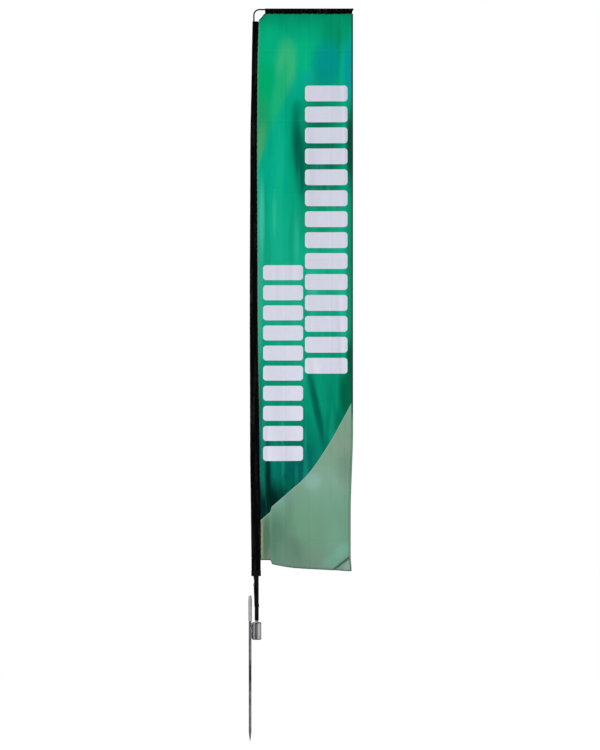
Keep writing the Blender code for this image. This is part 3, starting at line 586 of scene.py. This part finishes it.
def rounded(profile, radius=0.0004, steps=3):
    """Round off a profile's corners with short arcs, each with a ring beside it that keeps the wall flat."""
    out = [profile[0]]
    for before, at, after in zip(profile, profile[1:], profile[2:]):
        here = Vector(at)
        back, ahead = Vector(before) - here, Vector(after) - here
        if back.angle(ahead, math.pi) > math.radians(172):
            out.append(at)
            continue
        reach = min(radius, back.length * 0.30, ahead.length * 0.30)
        start, end = here + back.normalized() * reach, here + ahead.normalized() * reach
        out.append(tuple(start + back.normalized() * reach * 0.4))
        for i in range(steps + 1):
            t = i / steps
            out.append(tuple(start.lerp(here, t).lerp(here.lerp(end, t), t)))
        out.append(tuple(end + ahead.normalized() * reach * 0.4))
    out.append(profile[-1])
    return out


def lathe(name, profile, look, node, body="pole", centre=(0, 0, 0), axis="Z", segments=64,
          radius=0.0003, beaten=0.0, bend=None):
    """Turned piece from (radius, distance along the axis) points, its corners rounded. beaten dents it a
    little all over, and bend gives the axis's sideways place at each height."""
    profile = np.array(rounded(profile, radius))
    r = np.repeat(profile[:, :1], segments, axis=1)
    along = np.repeat(profile[:, 1:], segments, axis=1)
    a = np.repeat(full_turn(segments)[None, :], len(profile), axis=0)
    if beaten:
        dents = fold_noise(np.cos(a) * 1.5, np.sin(a) * 1.5, 1.0, 1.0, along * 70)
        r = r - beaten * np.abs(dents) * np.minimum(r / 0.004, 1.0)
    first, second = r * np.cos(a), r * np.sin(a)
    if bend is not None:
        first = first + bend(along)
    order = {"Z": (first, second, along), "X": (along, first, second)}[axis]
    points = np.stack(order, axis=2) + np.array(centre)
    mesh = outward(grid_mesh(points, around=True, closed=profile[0][0] > 0))
    return add_piece(name, mesh, look, node, body)


def rod_curve(paths, radius, closed=False, resolution=5):
    """Round wire or thread along one or more lists of points."""
    curve = bpy.data.curves.new("rod", "CURVE")
    curve.dimensions = "3D"
    curve.bevel_depth = radius
    curve.bevel_resolution = resolution
    curve.use_fill_caps = not closed
    for path in paths:
        spline = curve.splines.new("POLY")
        spline.points.add(len(path) - 1)
        spline.points.foreach_set("co", np.c_[np.asarray(path, float), np.ones(len(path))].ravel())
        spline.use_cyclic_u = closed
        spline.use_smooth = True
    return curve


def stitch_paths(path, pitch=0.0050, share=0.72):
    """Cut a path into the separate stitches of a sewn line."""
    path = np.asarray(path, float)
    run = np.r_[0, np.cumsum(np.linalg.norm(np.diff(path, axis=0), axis=1))]
    starts = np.arange(0.001, run[-1] - pitch, pitch)

    def at(distance):
        return np.stack([np.interp(distance, run, path[:, k]) for k in range(3)], axis=-1)

    return [at(np.array([s, s + pitch * share * 0.5, s + pitch * share])) for s in starts]


def add_stitching(name, rows, radius, look):
    add_piece(name, rod_curve(rows, radius, resolution=1), look)


# ---------------------------------------------------------------- pole sleeve and flag

def pole_x(z):
    t = np.clip((z - BOW_START) / (BOW_END - BOW_START), 0.0, 1.0)
    back = np.maximum((z - BOW_END) / (ARM_Z - BOW_END), 0.0)
    return SWIVEL_X - BOW * np.sin(0.5 * math.pi * t) ** 2 + BOW_RETURN * back ** 2


def stations(node):
    """Heights of a CAD tube's rings, with its lowest and highest x and half depth at each."""
    places = np.array([v.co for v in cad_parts[node].data.vertices])
    rows = []
    for height in np.unique(np.round(places[:, 2], 4)):
        ring = places[np.abs(places[:, 2] - height) < 0.0006]
        rows.append((height, ring[:, 0].min(), ring[:, 0].max(), ring[:, 1].max()))
    return np.array(rows).T


SLEEVE = stations("pole_sleeve")


def sleeve_edge(z, which):
    """Left (1) or right (2) edge or half depth (3) of the pole sleeve at a height, smoothed between rings."""
    spread = np.linspace(-0.05, 0.05, 5)
    return sum(np.interp(np.asarray(z) + d, SLEEVE[0], SLEEVE[which]) for d in spread) / len(spread)


def bottom_edge(x):
    main = HEM_LOW + HEM_RISE * np.exp(-(x - PANEL_STEP) / HEM_LENGTH)
    return PANEL_BOTTOM + (main - PANEL_BOTTOM) * smoothstep(PANEL_EDGE, PANEL_STEP, x)


def top_edge(x):
    """Height of the cloth's upper edge; across the cut-out corner the two sleeves pull it hollow."""
    t = np.clip((x - CORNER_FOOT[0]) / (CORNER_HEAD[0] - CORNER_FOOT[0]), 0.0, 1.0)
    return CORNER_FOOT[1] + (CORNER_HEAD[1] - CORNER_FOOT[1]) * t - CORNER_HOLLOW * np.sin(math.pi * t)


def fly_edge(z):
    return (FLY_LOWER + (FLY_UPPER - FLY_LOWER) * smoothstep(0.62, 1.05, z)
            + FLY_CORNER * smoothstep(0.42, 0.35, z))


def ridge(x, z, start, end, width, depth):
    """A soft fold along the line from start to end, fading at its ends."""
    (x0, z0), (x1, z1) = start, end
    length = math.hypot(x1 - x0, z1 - z0)
    ux, uz = (x1 - x0) / length, (z1 - z0) / length
    along = (x - x0) * ux + (z - z0) * uz
    across = (x - x0) * uz - (z - z0) * ux
    fade = smoothstep(-0.08, 0.10, along) * smoothstep(length + 0.08, length - 0.10, along)
    return depth * fade * np.exp(-(across / width) ** 2)


def fold_noise(x, z, scale_x, scale_z, layer):
    """Smooth noise over a surface, from -1 to 1. layer picks which of the noise's layers."""
    places = np.stack(np.broadcast_arrays(x * scale_x, z * scale_z, layer), axis=-1)
    values = [noise.noise(Vector(place)) for place in places.reshape(-1, 3)]
    return np.array(values).reshape(x.shape)


FOLDS = (
    # start and end (x, z), half width, and depth: + lies behind, - stands in front
    ((0.245, 2.62), (0.262, 2.20), 0.018, 0.006),
    ((0.290, 2.60), (0.300, 2.15), 0.020, -0.004),
    ((0.452, 3.10), (0.448, 2.72), 0.010, 0.004),
    ((0.478, 3.10), (0.476, 2.40), 0.010, -0.003),
    ((0.065, 2.25), (0.068, 1.80), 0.007, -0.0015),
    ((0.205, 2.25), (0.215, 1.75), 0.018, 0.003),
    ((0.120, 2.20), (0.130, 1.60), 0.014, -0.002),
    ((0.312, 1.40), (0.372, 0.98), 0.016, 0.006),
    ((0.350, 1.36), (0.425, 0.98), 0.022, -0.004),
    ((0.086, 1.10), (0.086, 0.66), 0.012, 0.005),
    ((0.180, 0.85), (0.240, 0.45), 0.026, 0.004),
    ((0.345, 0.80), (0.330, 0.42), 0.024, -0.004),
    ((0.440, 1.75), (0.470, 1.25), 0.014, 0.004),
    ((0.380, 0.90), (0.480, 0.50), 0.022, 0.003),
)


def cloth_depth(x, z):
    """How far the cloth stands behind (+) or in front of (-) the pole's plane."""
    free = smoothstep(0.05, 0.22, x)
    depth = 0.004 + 0.017 * smoothstep(1.6, 0.55, z)
    hang = smoothstep(SEAM_Z, SEAM_Z - 0.5, z)
    y = free * hang * depth * np.sin(math.tau * (x / 0.36 + 0.55 * z) + 0.6)
    near = smoothstep(0.055, 0.10, x)
    for start, end, width, amount in FOLDS:
        y = y + near * ridge(x, z, start, end, width, amount)
    loose = 0.35 + 0.65 * smoothstep(2.0, 0.6, z)
    y = y + near * loose * 0.0028 * fold_noise(x, z, 9.0, 2.6, 3.1)
    y = y + 0.0010 * smoothstep(0.05, 0.07, x) * fold_noise(x, z, 30.0, 11.0, 8.7)
    left = np.exp(-(x - sleeve_edge(z, 2)) / 0.012)
    right = np.exp(-(fly_edge(z) - x) / 0.010)
    top = np.exp(-np.abs(SEAM_Z - z) / 0.014)
    low = np.exp(-np.abs(z - bottom_edge(x)) / 0.010)
    sides = (left + right) * np.sin(z * math.tau / 0.031 + 2.0 * np.sin(z * 9.0))
    ends = (top + low) * np.sin(x * math.tau / 0.027 + 1.5 * np.sin(x * 23.0))
    y = y + 0.0008 * (sides + ends)

    past = beyond_crease(x, z)
    y = y + 0.010 * smoothstep(-0.004, 0.012, past) - 0.030 * smoothstep(0.010, 0.060, past)
    pleat = smoothstep(PLEAT_FADE, PLEAT_TOP - 0.05, z) * smoothstep(0.055, 0.075, x)
    y = y - 0.005 * pleat * smoothstep(PANEL_EDGE + 0.030, PANEL_EDGE + 0.004, x)
    return DEPTH_LIMIT * np.tanh(y / DEPTH_LIMIT)


def build_cloth():
    """The printed cloth. Its attributes give the print flat coordinates and the distances from its edges."""
    u, v = np.meshgrid(np.linspace(0, 1, COLUMNS + 1), np.linspace(0, 1, ROWS + 1))
    low = bottom_edge(FOOT_LEFT + u * (FLY_LOWER + FLY_CORNER - FOOT_LEFT))
    high = top_edge(CORNER_FOOT[0] + u * (FLY_UPPER - CORNER_FOOT[0]))
    z = low + v * (high - low)
    left = np.where(z > sleeve_high.z, CORNER_FOOT[0], sleeve_edge(z, 2) - 0.0005)
    x = left + u * (fly_edge(z) - left)
    points = np.stack([x, cloth_depth(x, z), z], axis=2)
    mesh = grid_mesh(points)
    hidden = PLEAT_WIDTH * smoothstep(PLEAT_FADE, PLEAT_TOP, z)
    hidden = hidden * (1 - smoothstep(PANEL_EDGE - 0.001, PANEL_EDGE + 0.006, x))
    flat = np.stack([x - hidden, z, np.minimum(x - left, 0.02)], axis=2)
    rims = np.stack([fly_edge(z) - x, z - low, high - z], axis=2)
    for name, values in (("cloth", flat), ("rims", rims)):
        attribute = mesh.attributes.new(name, "FLOAT_VECTOR", "POINT")
        attribute.data.foreach_set("vector", values.astype(np.float32).ravel())
    piece = add_piece("banner_cloth", mesh, "print", "flag_cloth")
    mesh.materials.append(LOOKS["print_rear"])
    return solid(piece, CLOTH_THICKNESS, rear_slot=1), points


def folded_tape(name, path, into, look, node, widths, thickness):
    """Tape folded round an edge: path is the edge, into the way into the cloth, widths front and back."""
    depth = np.array((0.0, thickness, 0.0))
    front, back = widths
    section = ((front, -1.0), (front * 0.5, -1.05), (0.0005, -0.9), (-0.0007, 0.0), (0.0005, 0.9),
               (back * 0.5, 1.05), (back, 1.0))
    points = np.array([[p + n * along + depth * side for along, side in section] for p, n in zip(path, into)])
    solid(add_piece(name, grid_mesh(points), look, node), 0.0004)


def build_hems(points):
    """Folded tapes along the fly and the bottom edge."""
    for side, edge, inner, widths, thickness in (
            ("fly", points[:, -1], points[:, -3], (0.0065, 0.011), 0.0009),
            ("bottom", points[0, :-1], points[1, :-1], (0.0035, 0.0055), 0.0011)):
        away = inner - edge
        into = away / np.linalg.norm(away, axis=1)[:, None]
        folded_tape("banner_" + side + "_hem", edge, into, "hem", side + "_edge_tape", widths,
                    thickness)


def build_pole_sleeve():
    """Black sleeve pulled tight round the pole and flat beside it, round at its cuffed lower end."""
    rings, around = 520, 96
    z = np.linspace(sleeve_low.z, sleeve_high.z, rings)[:, None]
    left, right, half_depth = (sleeve_edge(z, k) for k in (1, 2, 3))
    angles = full_turn(around)[None, :]
    c, s = np.cos(angles), np.sin(angles)
    across = np.sign(c) * np.abs(c) ** 0.8
    x = (left + right) / 2 + (right - left) / 2 * across
    oval = (1 - np.abs(across) ** 2.5) ** (1 / 2.5)
    tube = BASE_RADIUS + (UPPER_RADIUS - BASE_RADIUS) * smoothstep(1.0, 2.3, z) + 0.0012
    for low, high in (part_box("lower_joint_collar"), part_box("upper_joint_collar")):
        beside = np.abs(z - (low.z + high.z) / 2) - (high.z - low.z) / 2
        tube = np.maximum(tube, ((high.y - low.y) / 2 + 0.0011) * smoothstep(0.020, 0.003, beside))
    over_pole = np.sqrt(np.maximum(tube ** 2 - (x - pole_x(z)) ** 2, 0.0))
    open_end = smoothstep(0.42, 0.34, z)
    flat = half_depth * (0.50 + 0.50 * open_end) * oval
    depth = np.minimum((flat ** 5 + over_pole ** 5) ** 0.2, half_depth * (0.15 + 0.85 * oval))
    zz = z + 0 * x
    crease = fold_noise(x, zz, 40.0, 5.0, 1.7)
    fine = fold_noise(x, zz, 90.0, 26.0, 5.2)
    slant = fold_noise(x * 30 + zz * 9, zz, 1.0, 3.0, 2.4)
    y = np.sign(s) * depth * (1 - 0.10 * np.abs(crease) - 0.05 * fine - 0.06 * np.abs(slant) * (1 - open_end))
    x = x + 0.0004 * fine * across
    mesh = grid_mesh(np.stack([x, y, zz], axis=2), around=True)
    piece = add_piece("banner_pole_sleeve", mesh, "black_cloth", "pole_sleeve")
    return solid(piece, 0.0007, offset=-1.0)


def build_top_sleeve():
    """Sleeve over the arm: round above it, drawn down to the seam, with small gathers."""
    x = np.linspace(top_sleeve_low.x, top_sleeve_high.x, 220)[:, None]
    radius, drop, tip = top_sleeve_high.z - ARM_Z, SEAM_Z - ARM_Z, 0.0012
    side = [(-(radius + (tip - radius) * t ** 1.3), drop * t) for t in np.linspace(0, 1, 10)[1:]]
    section = arc(0, 0, radius, 0, math.pi, 25) + side + [(-y, z) for y, z in side[::-1]]
    y, rise = np.array(section).T
    gathers = np.sin(x * math.tau / 0.036 + 2.2 * np.sin(x * 17.0)) * np.sign(y)
    y = y + 0.0007 * np.sin(smoothstep(0.0, -0.016, rise) * math.pi) * gathers
    mesh = grid_mesh(np.stack([x + 0 * y, y, ARM_Z + rise + 0 * x], axis=2), around=True)
    piece = add_piece("banner_top_sleeve", mesh, "black_cloth", "top_sleeve")
    return solid(piece, 0.0006, offset=-1.0)


def oval_loop(z, grow):
    """Outline of the sleeve's open end, grown outwards."""
    angles = np.linspace(0, math.tau, 97)
    c, s = np.cos(angles), np.sin(angles)
    left, right, half_depth = (float(sleeve_edge(z, k)) for k in (1, 2, 3))
    x = (left + right) / 2 + ((right - left) / 2 + grow) * np.sign(c) * np.abs(c) ** (2 / 2.6)
    y = (half_depth + grow) * np.sign(s) * np.abs(s) ** (2 / 2.6)
    return np.stack([x, y, np.full(97, z)], axis=1)


def build_cuff():
    """Webbing round the sleeve's lower end, folded over its edge, with two rows of stitches."""
    low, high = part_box("sleeve_cuff")
    edge = 0.0009
    turn = [(high.z, 0.0005), (high.z - 0.004, 0.0007), (low.z + 0.006, 0.0008), (low.z + edge, 0.0007),
            (low.z, 0.0000), (low.z + edge, -0.0009), (low.z + 0.010, -0.0011)]
    mesh = grid_mesh(np.array([oval_loop(z, grow)[:-1] for z, grow in turn]), around=True)
    solid(add_piece("banner_cuff", mesh, "webbing", "sleeve_cuff"), 0.0006)
    rows = []
    for z in (low.z + 0.0035, high.z - 0.0030):
        rows += stitch_paths(oval_loop(z, 0.0012), 0.0040)
    add_stitching("banner_cuff_stitching", rows, 0.00030, "thread_black")


def sewn_line(x, z):
    """Stitches along a line on the front of the cloth."""
    return stitch_paths(np.stack([x, cloth_depth(x, z) - CLOTH_THICKNESS / 2 - 0.0002, z], axis=1))


def build_seams():
    """Sewn lines on the cloth: beside the pole sleeve, below the top sleeve and along both hems."""
    beside = np.arange(0.405, sleeve_high.z - 0.003, 0.004)
    below = np.arange(CORNER_HEAD[0] + 0.003, FLY_UPPER - 0.004, 0.004)
    rows = sewn_line(sleeve_edge(beside, 2) + 0.0022, beside)
    rows += sewn_line(below, np.full_like(below, SEAM_Z - 0.0022))
    add_stitching("banner_seam_stitching", rows, 0.00028, "thread_black")
    fly = np.arange(0.42, SEAM_Z - 0.004, 0.004)
    foot = np.arange(PANEL_STEP + 0.004, 0.40, 0.004)
    rows = sewn_line(fly_edge(fly) - 0.0095, fly) + sewn_line(foot, bottom_edge(foot) + 0.0095)
    add_stitching("banner_hem_stitching", rows, 0.00025, "thread_green")


def build_corner_tape():
    """Bound edge of the cut-out corner, pulled slightly hollow by the two sleeves."""
    x = np.linspace(CORNER_FOOT[0], CORNER_HEAD[0], 28)
    z = top_edge(x)
    path = np.stack([x, cloth_depth(x, z - 0.002), z], axis=1)
    path = np.vstack([path[0] - (0.0008, 0, 0.0010), path, path[-1] + (0.0014, 0, 0.0006)])
    along = np.gradient(path, axis=0)
    along /= np.linalg.norm(along, axis=1)[:, None]
    into = np.stack([along[:, 2], 0 * along[:, 1], -along[:, 0]], axis=1)
    folded_tape("banner_corner_tape", path, into, "webbing", "corner_binding",
                (0.0036, 0.0036), 0.0010)


# ---------------------------------------------------------------- tensioner

def turned_place(points):
    """From the tensioner's own frame to the object's."""
    points = np.asarray(points, float)
    c, s = math.cos(TENSIONER_TURN), math.sin(TENSIONER_TURN)
    x, y = points[..., 0], points[..., 1]
    return np.stack([SWIVEL_X + c * x - s * y, s * x + c * y, points[..., 2]], axis=-1)


def build_strap():
    """Strap from the cuff round the ring's top and up behind itself, with two crossed boxes of stitches."""
    loop = RING_WIRE + FIT + STRAP_THICKNESS / 2
    run = [(STRAP_Y, z) for z in np.linspace(sleeve_low.z + 0.022, RING_TOP + 0.010, 14)]
    run += [(TENSIONER_Y - loop * 1.05, RING_TOP + 0.004)]
    run += arc(TENSIONER_Y, RING_TOP, loop, math.pi, math.tau, 17)
    run += [(STRAP_Y + STRAP_THICKNESS * 1.25, z)
            for z in np.linspace(RING_TOP + 0.010, sleeve_low.z - 0.006, 6)]
    share = np.linspace(-0.5, 0.5, 9)
    strap = np.array([[(k * (STRAP_WIDTH + 0.006 * smoothstep(RING_TOP + 0.006, sleeve_low.z, z)),
                        y + 0.0012 * k ** 2, z) for k in share] for y, z in run])
    mesh = grid_mesh(turned_place(strap))
    solid(add_piece("banner_strap", mesh, "webbing", "tension_strap"), STRAP_THICKNESS)
    face = STRAP_Y - STRAP_THICKNESS / 2 - 0.0003
    half = STRAP_WIDTH / 2 - 0.0025
    rows = []
    for low, high in ((RING_TOP + 0.011, sleeve_low.z - 0.008), (sleeve_low.z + 0.004, sleeve_low.z + 0.018)):
        outline = [(-half, face, low), (half, face, low), (half, face, high), (-half, face, high),
                   (-half, face, low), (half, face, high)]
        for pair in zip(outline, outline[1:]):
            rows += stitch_paths(turned_place(pair), 0.0030, 0.75)
    add_stitching("banner_strap_stitching", rows, 0.00030, "thread_black")


def build_ring():
    """Oblong wire ring with rounded corners."""
    corner = 0.0022
    ring = []
    across, high, low = RING_HALF - corner, RING_TOP - corner, RING_BOTTOM + corner
    for quarter, (x, z) in enumerate(((across, high), (-across, high), (-across, low), (across, low))):
        bend = arc(x, z, corner, quarter * math.pi / 2, (quarter + 1) * math.pi / 2, 9)
        ring += [(x, TENSIONER_Y, z) for x, z in bend]
    curve = rod_curve([turned_place(ring)], RING_WIRE, closed=True)
    add_piece("banner_ring", curve, "blackened", "strap_ring")


def build_hook():
    """Band round the pole, and the headed hook on its front."""
    bore, outer = BASE_RADIUS + FIT, BASE_RADIUS + FIT + 0.0013
    low, high = HOOK_Z - 0.008, HOOK_Z + 0.008
    band = [(bore, low), (outer, low), (outer, high), (bore, high)]
    lathe("banner_hook_band", band, "nylon", "pole_hook_clip", centre=ON_SWIVEL)
    root, lip, head = bore + 0.0010, ELASTIC_RADIUS - TENSIONER_Y + 0.0006, 0.0045
    profile = rounded([(0, root), (HOOK_RADIUS + 0.0012, root), (HOOK_RADIUS, bore + 0.0022),
                       (HOOK_RADIUS, lip), (head, lip), (head, lip + 0.0015), (0, lip + 0.0015)])
    hook = np.array([[(r * math.cos(a), -out, HOOK_Z + r * math.sin(a)) for a in full_turn(40)]
                     for r, out in profile])
    add_piece("banner_hook", outward(grid_mesh(turned_place(hook), around=True)), "nylon")


def eased_run(start, end):
    """Points from one place to another, leaving and arriving straight up or down."""
    t = np.linspace(0, 1, 26)[1:-1, None]
    start, end = np.array(start), np.array(end)
    eased = np.c_[smoothstep(0, 1, t), smoothstep(0, 1, t), t]
    return (start + (end - start) * eased).tolist()


def build_elastic():
    """Elastic loop over the ring's lower side and round the hook."""
    over = RING_WIRE + ELASTIC_RADIUS + FIT
    under = HOOK_RADIUS + ELASTIC_RADIUS + FIT
    top = [(-ELASTIC_LEAN, y, z) for y, z in arc(TENSIONER_Y, RING_BOTTOM, over, math.pi, 0, 15)]
    bottom = [(x, TENSIONER_Y, z) for x, z in arc(0, HOOK_Z, under, 0, -math.pi, 19)]
    path = top + eased_run(top[-1], bottom[0]) + bottom + eased_run(bottom[-1], top[0])
    curve = rod_curve([turned_place(path)], ELASTIC_RADIUS, closed=True)
    add_piece("banner_elastic", curve, "elastic", "elastic_loop")


# ---------------------------------------------------------------- hard pieces

def build_stake():
    """Forged stake with a drawn point, and its driving head with a burred rim."""
    top, foot = stake_high.z, stake_low.z
    rod = [(0, foot), (0.0009, foot), (0.0026, foot + 0.011), (0.0052, foot + 0.030),
           (STAKE_RADIUS, foot + 0.048)]
    rod += [(STAKE_RADIUS, z) for z in np.linspace(foot + 0.06, top - 0.001, 90)]
    rod += [(STAKE_RADIUS, top), (0, top)]
    lathe("stake_forged_rod", rod, "zinc", "stake_rod", "stake", segments=48, radius=0.0004,
          beaten=0.00022)
    low, high = head_low.z, head_high.z
    socket = STAKE_RADIUS + FIT
    head = [(0, top + FIT), (socket, top + FIT), (socket, low), (HEAD_RADIUS - 0.0010, low),
            (HEAD_RADIUS, low + 0.0016)]
    head += [(HEAD_RADIUS, z) for z in np.linspace(low + 0.004, high - 0.028, 22)]
    head += [(0.0080, high - 0.014), (0.0071, high - 0.0060), (0.0072, high - 0.0025),
             (0.0065, high - 0.0006), (0.0030, high), (0, high)]
    lathe("stake_driving_head", head, "bright", "driving_head", "stake", segments=56,
          radius=0.0004, beaten=0.00018)


def build_welds():
    """Rippled beads of weld where the bracket meets the stake."""
    low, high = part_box("stake_bracket")
    length = high.z - low.z
    angles = full_turn(16)
    for label, side in (("front", -1), ("rear", 1)):
        rings = []
        for t in np.linspace(0, 1, 150):
            ends = math.sqrt(1 - max(0.0, 1 - 22 * min(t, 1 - t)) ** 2 * 0.96)
            bead = 0.0027 * ends * (1 + 0.09 * math.sin(t * length * math.tau / 0.0032) ** 2)
            z = low.z + 0.001 + (length - 0.002) * t
            rings.append(np.stack([0.0082 + bead * np.cos(angles), side * 0.0058 + bead * np.sin(angles),
                                   z + 0 * angles], axis=1))
        mesh = outward(grid_mesh(np.array(rings), around=True, ends=True))
        add_piece("stake_weld_" + label, mesh, "weld", body="stake")


def build_rotator():
    """Turned housing and caps, with the same seats and grooves inside as the CAD's, and the spindle."""
    low, high, outer = housing_low.z, housing_high.z, HOUSING_RADIUS
    seat, groove, shoulder, upper = 0.0188, 0.0198, 0.0165, 0.0617
    wall = [(outer - 0.0008, low), (outer, low + 0.0008), (outer, high - 0.0008), (outer - 0.0008, high),
            (seat, high), (seat, 0.0760), (groove, 0.0760), (groove, 0.0742), (seat, 0.0742), (seat, upper),
            (shoulder, upper), (shoulder, 0.0268), (seat, 0.0268), (seat, 0.0143), (groove, 0.0143),
            (groove, 0.0125), (seat, 0.0125), (seat, low)]
    lathe("rotator_turned_housing", wall, "chrome", "rotator_housing", "stake", ON_SWIVEL,
          segments=96)
    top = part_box("housing_top_cap")[1].z
    spigot, bore, plate = seat - FIT, 0.0155, 0.0030
    bottom_cover = [(0, 0), (outer - 0.0010, 0), (outer, 0.0010), (outer, plate), (spigot, plate),
                    (spigot, 0.0070), (bore, 0.0070), (bore, plate), (0, plate)]
    top_cover = [(0.0095, top - plate), (bore, top - plate), (bore, 0.0780), (spigot, 0.0780),
                 (spigot, top - plate), (outer, top - plate), (outer, top - 0.0010), (outer - 0.0010, top),
                 (0.0140, top), (0.0135, top - 0.0006), (0.0100, top - 0.0006), (0.0095, top - 0.0004)]
    for end, cover in (("bottom", bottom_cover), ("top", top_cover)):
        lathe("rotator_" + end + "_cover", cover, "dark_steel", "housing_" + end + "_cap",
              "stake", ON_SWIVEL, segments=96)
    spindle_low, spindle_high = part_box("spindle")
    collar_top, collar, pin = base_low.z - 0.0023, 0.00825, 0.0060
    spindle = [(0, spindle_low.z), (0.0041, spindle_low.z), (0.0047, 0.0046), (0.0047, 0.0143),
               (0.0057, 0.0143), (0.0057, 0.0743), (collar, 0.0743), (collar, collar_top - 0.003),
               (collar - 0.0009, collar_top - 0.0022), (collar - 0.0009, collar_top - 0.0016),
               (collar, collar_top - 0.0008), (collar, collar_top), (pin, collar_top),
               (pin, spindle_high.z - 0.004), (pin - 0.0015, spindle_high.z), (0, spindle_high.z)]
    lathe("rotator_spindle", spindle, "bright", "spindle", "spindle", ON_SWIVEL)


def build_pole():
    """Lowest tube, the bent rod and its end cap."""
    low, high, outer, inner = base_low.z, base_high.z, BASE_RADIUS, 0.0075
    heights = np.linspace(low + 0.001, high - 0.001, 40)
    wall = [(inner, low), (outer, low)] + [(outer, z) for z in heights] + [(outer, high), (inner, high)]
    wall += [(inner, z) for z in heights[::-1]]
    lathe("pole_base_tube", wall, "tube", "pole_base_section", segments=56, radius=0.0004,
          bend=pole_x)
    elbow_low, elbow_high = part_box("top_elbow")
    bend_z = ARM_Z - BEND_RADIUS
    bend_x = float(pole_x(bend_z)) + BEND_RADIUS
    path = [(float(pole_x(z)), 0, z) for z in np.linspace(elbow_low.z, bend_z, 12)]
    path += [(x, 0, z) for x, z in arc(bend_x, bend_z, BEND_RADIUS, math.pi, math.pi / 2, 25)[1:]]
    path.append((elbow_high.x, 0, ARM_Z))
    curve = rod_curve([path], ROD_RADIUS, resolution=7)
    add_piece("pole_bent_rod", curve, "rod", "top_elbow")
    cap_low, cap_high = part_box("arm_end_cap")
    face, arm_end = top_sleeve_high.x + FIT, arm_high.x + FIT
    bore, plug, rim, end = ROD_RADIUS + FIT, 0.0047, 0.0070, cap_high.x
    cap = [(0.001, arm_end), (bore, arm_end), (bore, cap_low.x), (plug, cap_low.x), (plug, face), (rim, face),
           (rim, end - 0.002), (0.0055, end), (0.0025, end), (0.0020, end - 0.0006), (0.001, end - 0.0006)]
    lathe("arm_knurled_cap", cap, "nylon", "arm_end_cap", centre=(0, 0, ARM_Z), axis="X",
          segments=48, radius=0.0005)


def recolour():
    """Better finishes on the CAD pieces that stay."""
    finishes = {
        "zinc": ("stake_bracket", "spindle_washer", "spindle_nut"),
        "blackened": ("lower_snap_ring", "upper_snap_ring", "inner_ring_spacer"),
        "bearing": ("lower_bearing_outer_ring", "upper_bearing_outer_ring", "lower_bearing_inner_ring",
                    "upper_bearing_inner_ring", "lower_bearing_balls", "upper_bearing_balls"),
        "alloy": ("lower_joint_collar", "upper_joint_collar", "arm_joint_collar"),
        "rubber": ("shaft_seal",),
        "nylon": ("pole_base_bush",),
        "tube": ("pole_middle_section", "pole_upper_section"),
        "rod": ("top_arm",),
    }
    for look, nodes in finishes.items():
        for node in nodes:
            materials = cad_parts[node].data.materials
            materials.clear()
            materials.append(LOOKS[look])


# ---------------------------------------------------------------- studio

# What shiny metal mirrors: screen brightness by direction, from behind the object round its left side, its
# front and its right side
SURROUND = ((0.0, 112), (0.08, 60), (0.17, 22), (0.225, 60), (0.26, 160), (0.35, 176), (0.40, 76),
            (0.45, 84), (0.50, 124), (0.57, 132), (0.62, 208), (0.68, 216), (0.74, 176), (0.82, 168),
            (0.92, 124), (1.0, 112))


def build_world():
    """White to the camera, banded greys to shiny metal and an even light grey to everything else."""
    world = bpy.data.worlds.new("studio")
    world.use_nodes = True
    bpy.context.scene.world = world
    sky = Nodes(world.node_tree)
    x, y, _ = sky.parts(sky.signal("TexCoord", "Generated"))
    turn = sky.math("ARCTAN2", x, y * -1.0)
    stops = [(place, srgb(grey, grey, grey)) for place, grey in SURROUND]
    bands = sky.ramp(turn.span(-math.pi, math.pi), stops)
    mirrored = sky.mix(sky.signal("LightPath", "Is Glossy Ray"), (0.33, 0.33, 0.33, 1.0), bands)
    seen = sky.mix(sky.signal("LightPath", "Is Camera Ray"), mirrored, WHITE)
    sky.put(seen, sky.tree.nodes["Background"].inputs["Color"])


def build_studio():
    scene = bpy.context.scene
    scene.view_settings.view_transform = "Standard"
    camera = bpy.data.cameras.new("camera")
    camera.sensor_fit = "VERTICAL"
    camera.sensor_height = SENSOR
    camera.lens = SENSOR * CAMERA_DISTANCE / FRAME_HEIGHT
    camera.clip_end = 200
    camera_object = bpy.data.objects.new("camera", camera)
    camera_object.location = (CAMERA_X, -CAMERA_DISTANCE, CAMERA_Z)
    camera_object.rotation_euler = (math.radians(90), 0, 0)
    scene.collection.objects.link(camera_object)
    scene.camera = camera_object
    build_world()

    for name, strength, angle, turn in (("key", 2.0, 22, (58, 0, -38)), ("fill", 0.40, 60, (60, 0, 52)),
                                        ("back", 1.1, 40, (62, 0, 200))):
        light = bpy.data.lights.new(name, "SUN")
        light.energy = strength
        light.angle = math.radians(angle)
        made = bpy.data.objects.new(name, light)
        made.rotation_euler = [math.radians(a) for a in turn]
        scene.collection.objects.link(made)

    floor_z = cad_bounds[0][2] - 0.001
    mesh = bpy.data.meshes.new("floor")
    rim = [(x, y, floor_z) for x, y in arc(CAMERA_X, 0, FLOOR_RADIUS, 0, math.tau, 97)[:-1]]
    mesh.from_pydata(rim, [], [tuple(range(len(rim)))])
    shader = Shader("floor", 0.9, Specular_IOR_Level=0.0, Emission_Strength=0.80, Emission_Color=WHITE,
                    Base_Color=(0.30, 0.30, 0.30, 1.0))
    mesh.materials.append(shader.material)
    floor = bpy.data.objects.new("floor", mesh)
    floor.visible_glossy = False
    scene.collection.objects.link(floor)


def main():
    build_studio()
    recolour()
    cloth, points = build_cloth()
    build_hems(points)
    sleeve = build_pole_sleeve()
    top = build_top_sleeve()
    for build in (build_cuff, build_seams, build_corner_tape, build_strap, build_ring, build_hook,
                  build_elastic, build_stake, build_welds, build_rotator, build_pole):
        build()


main()
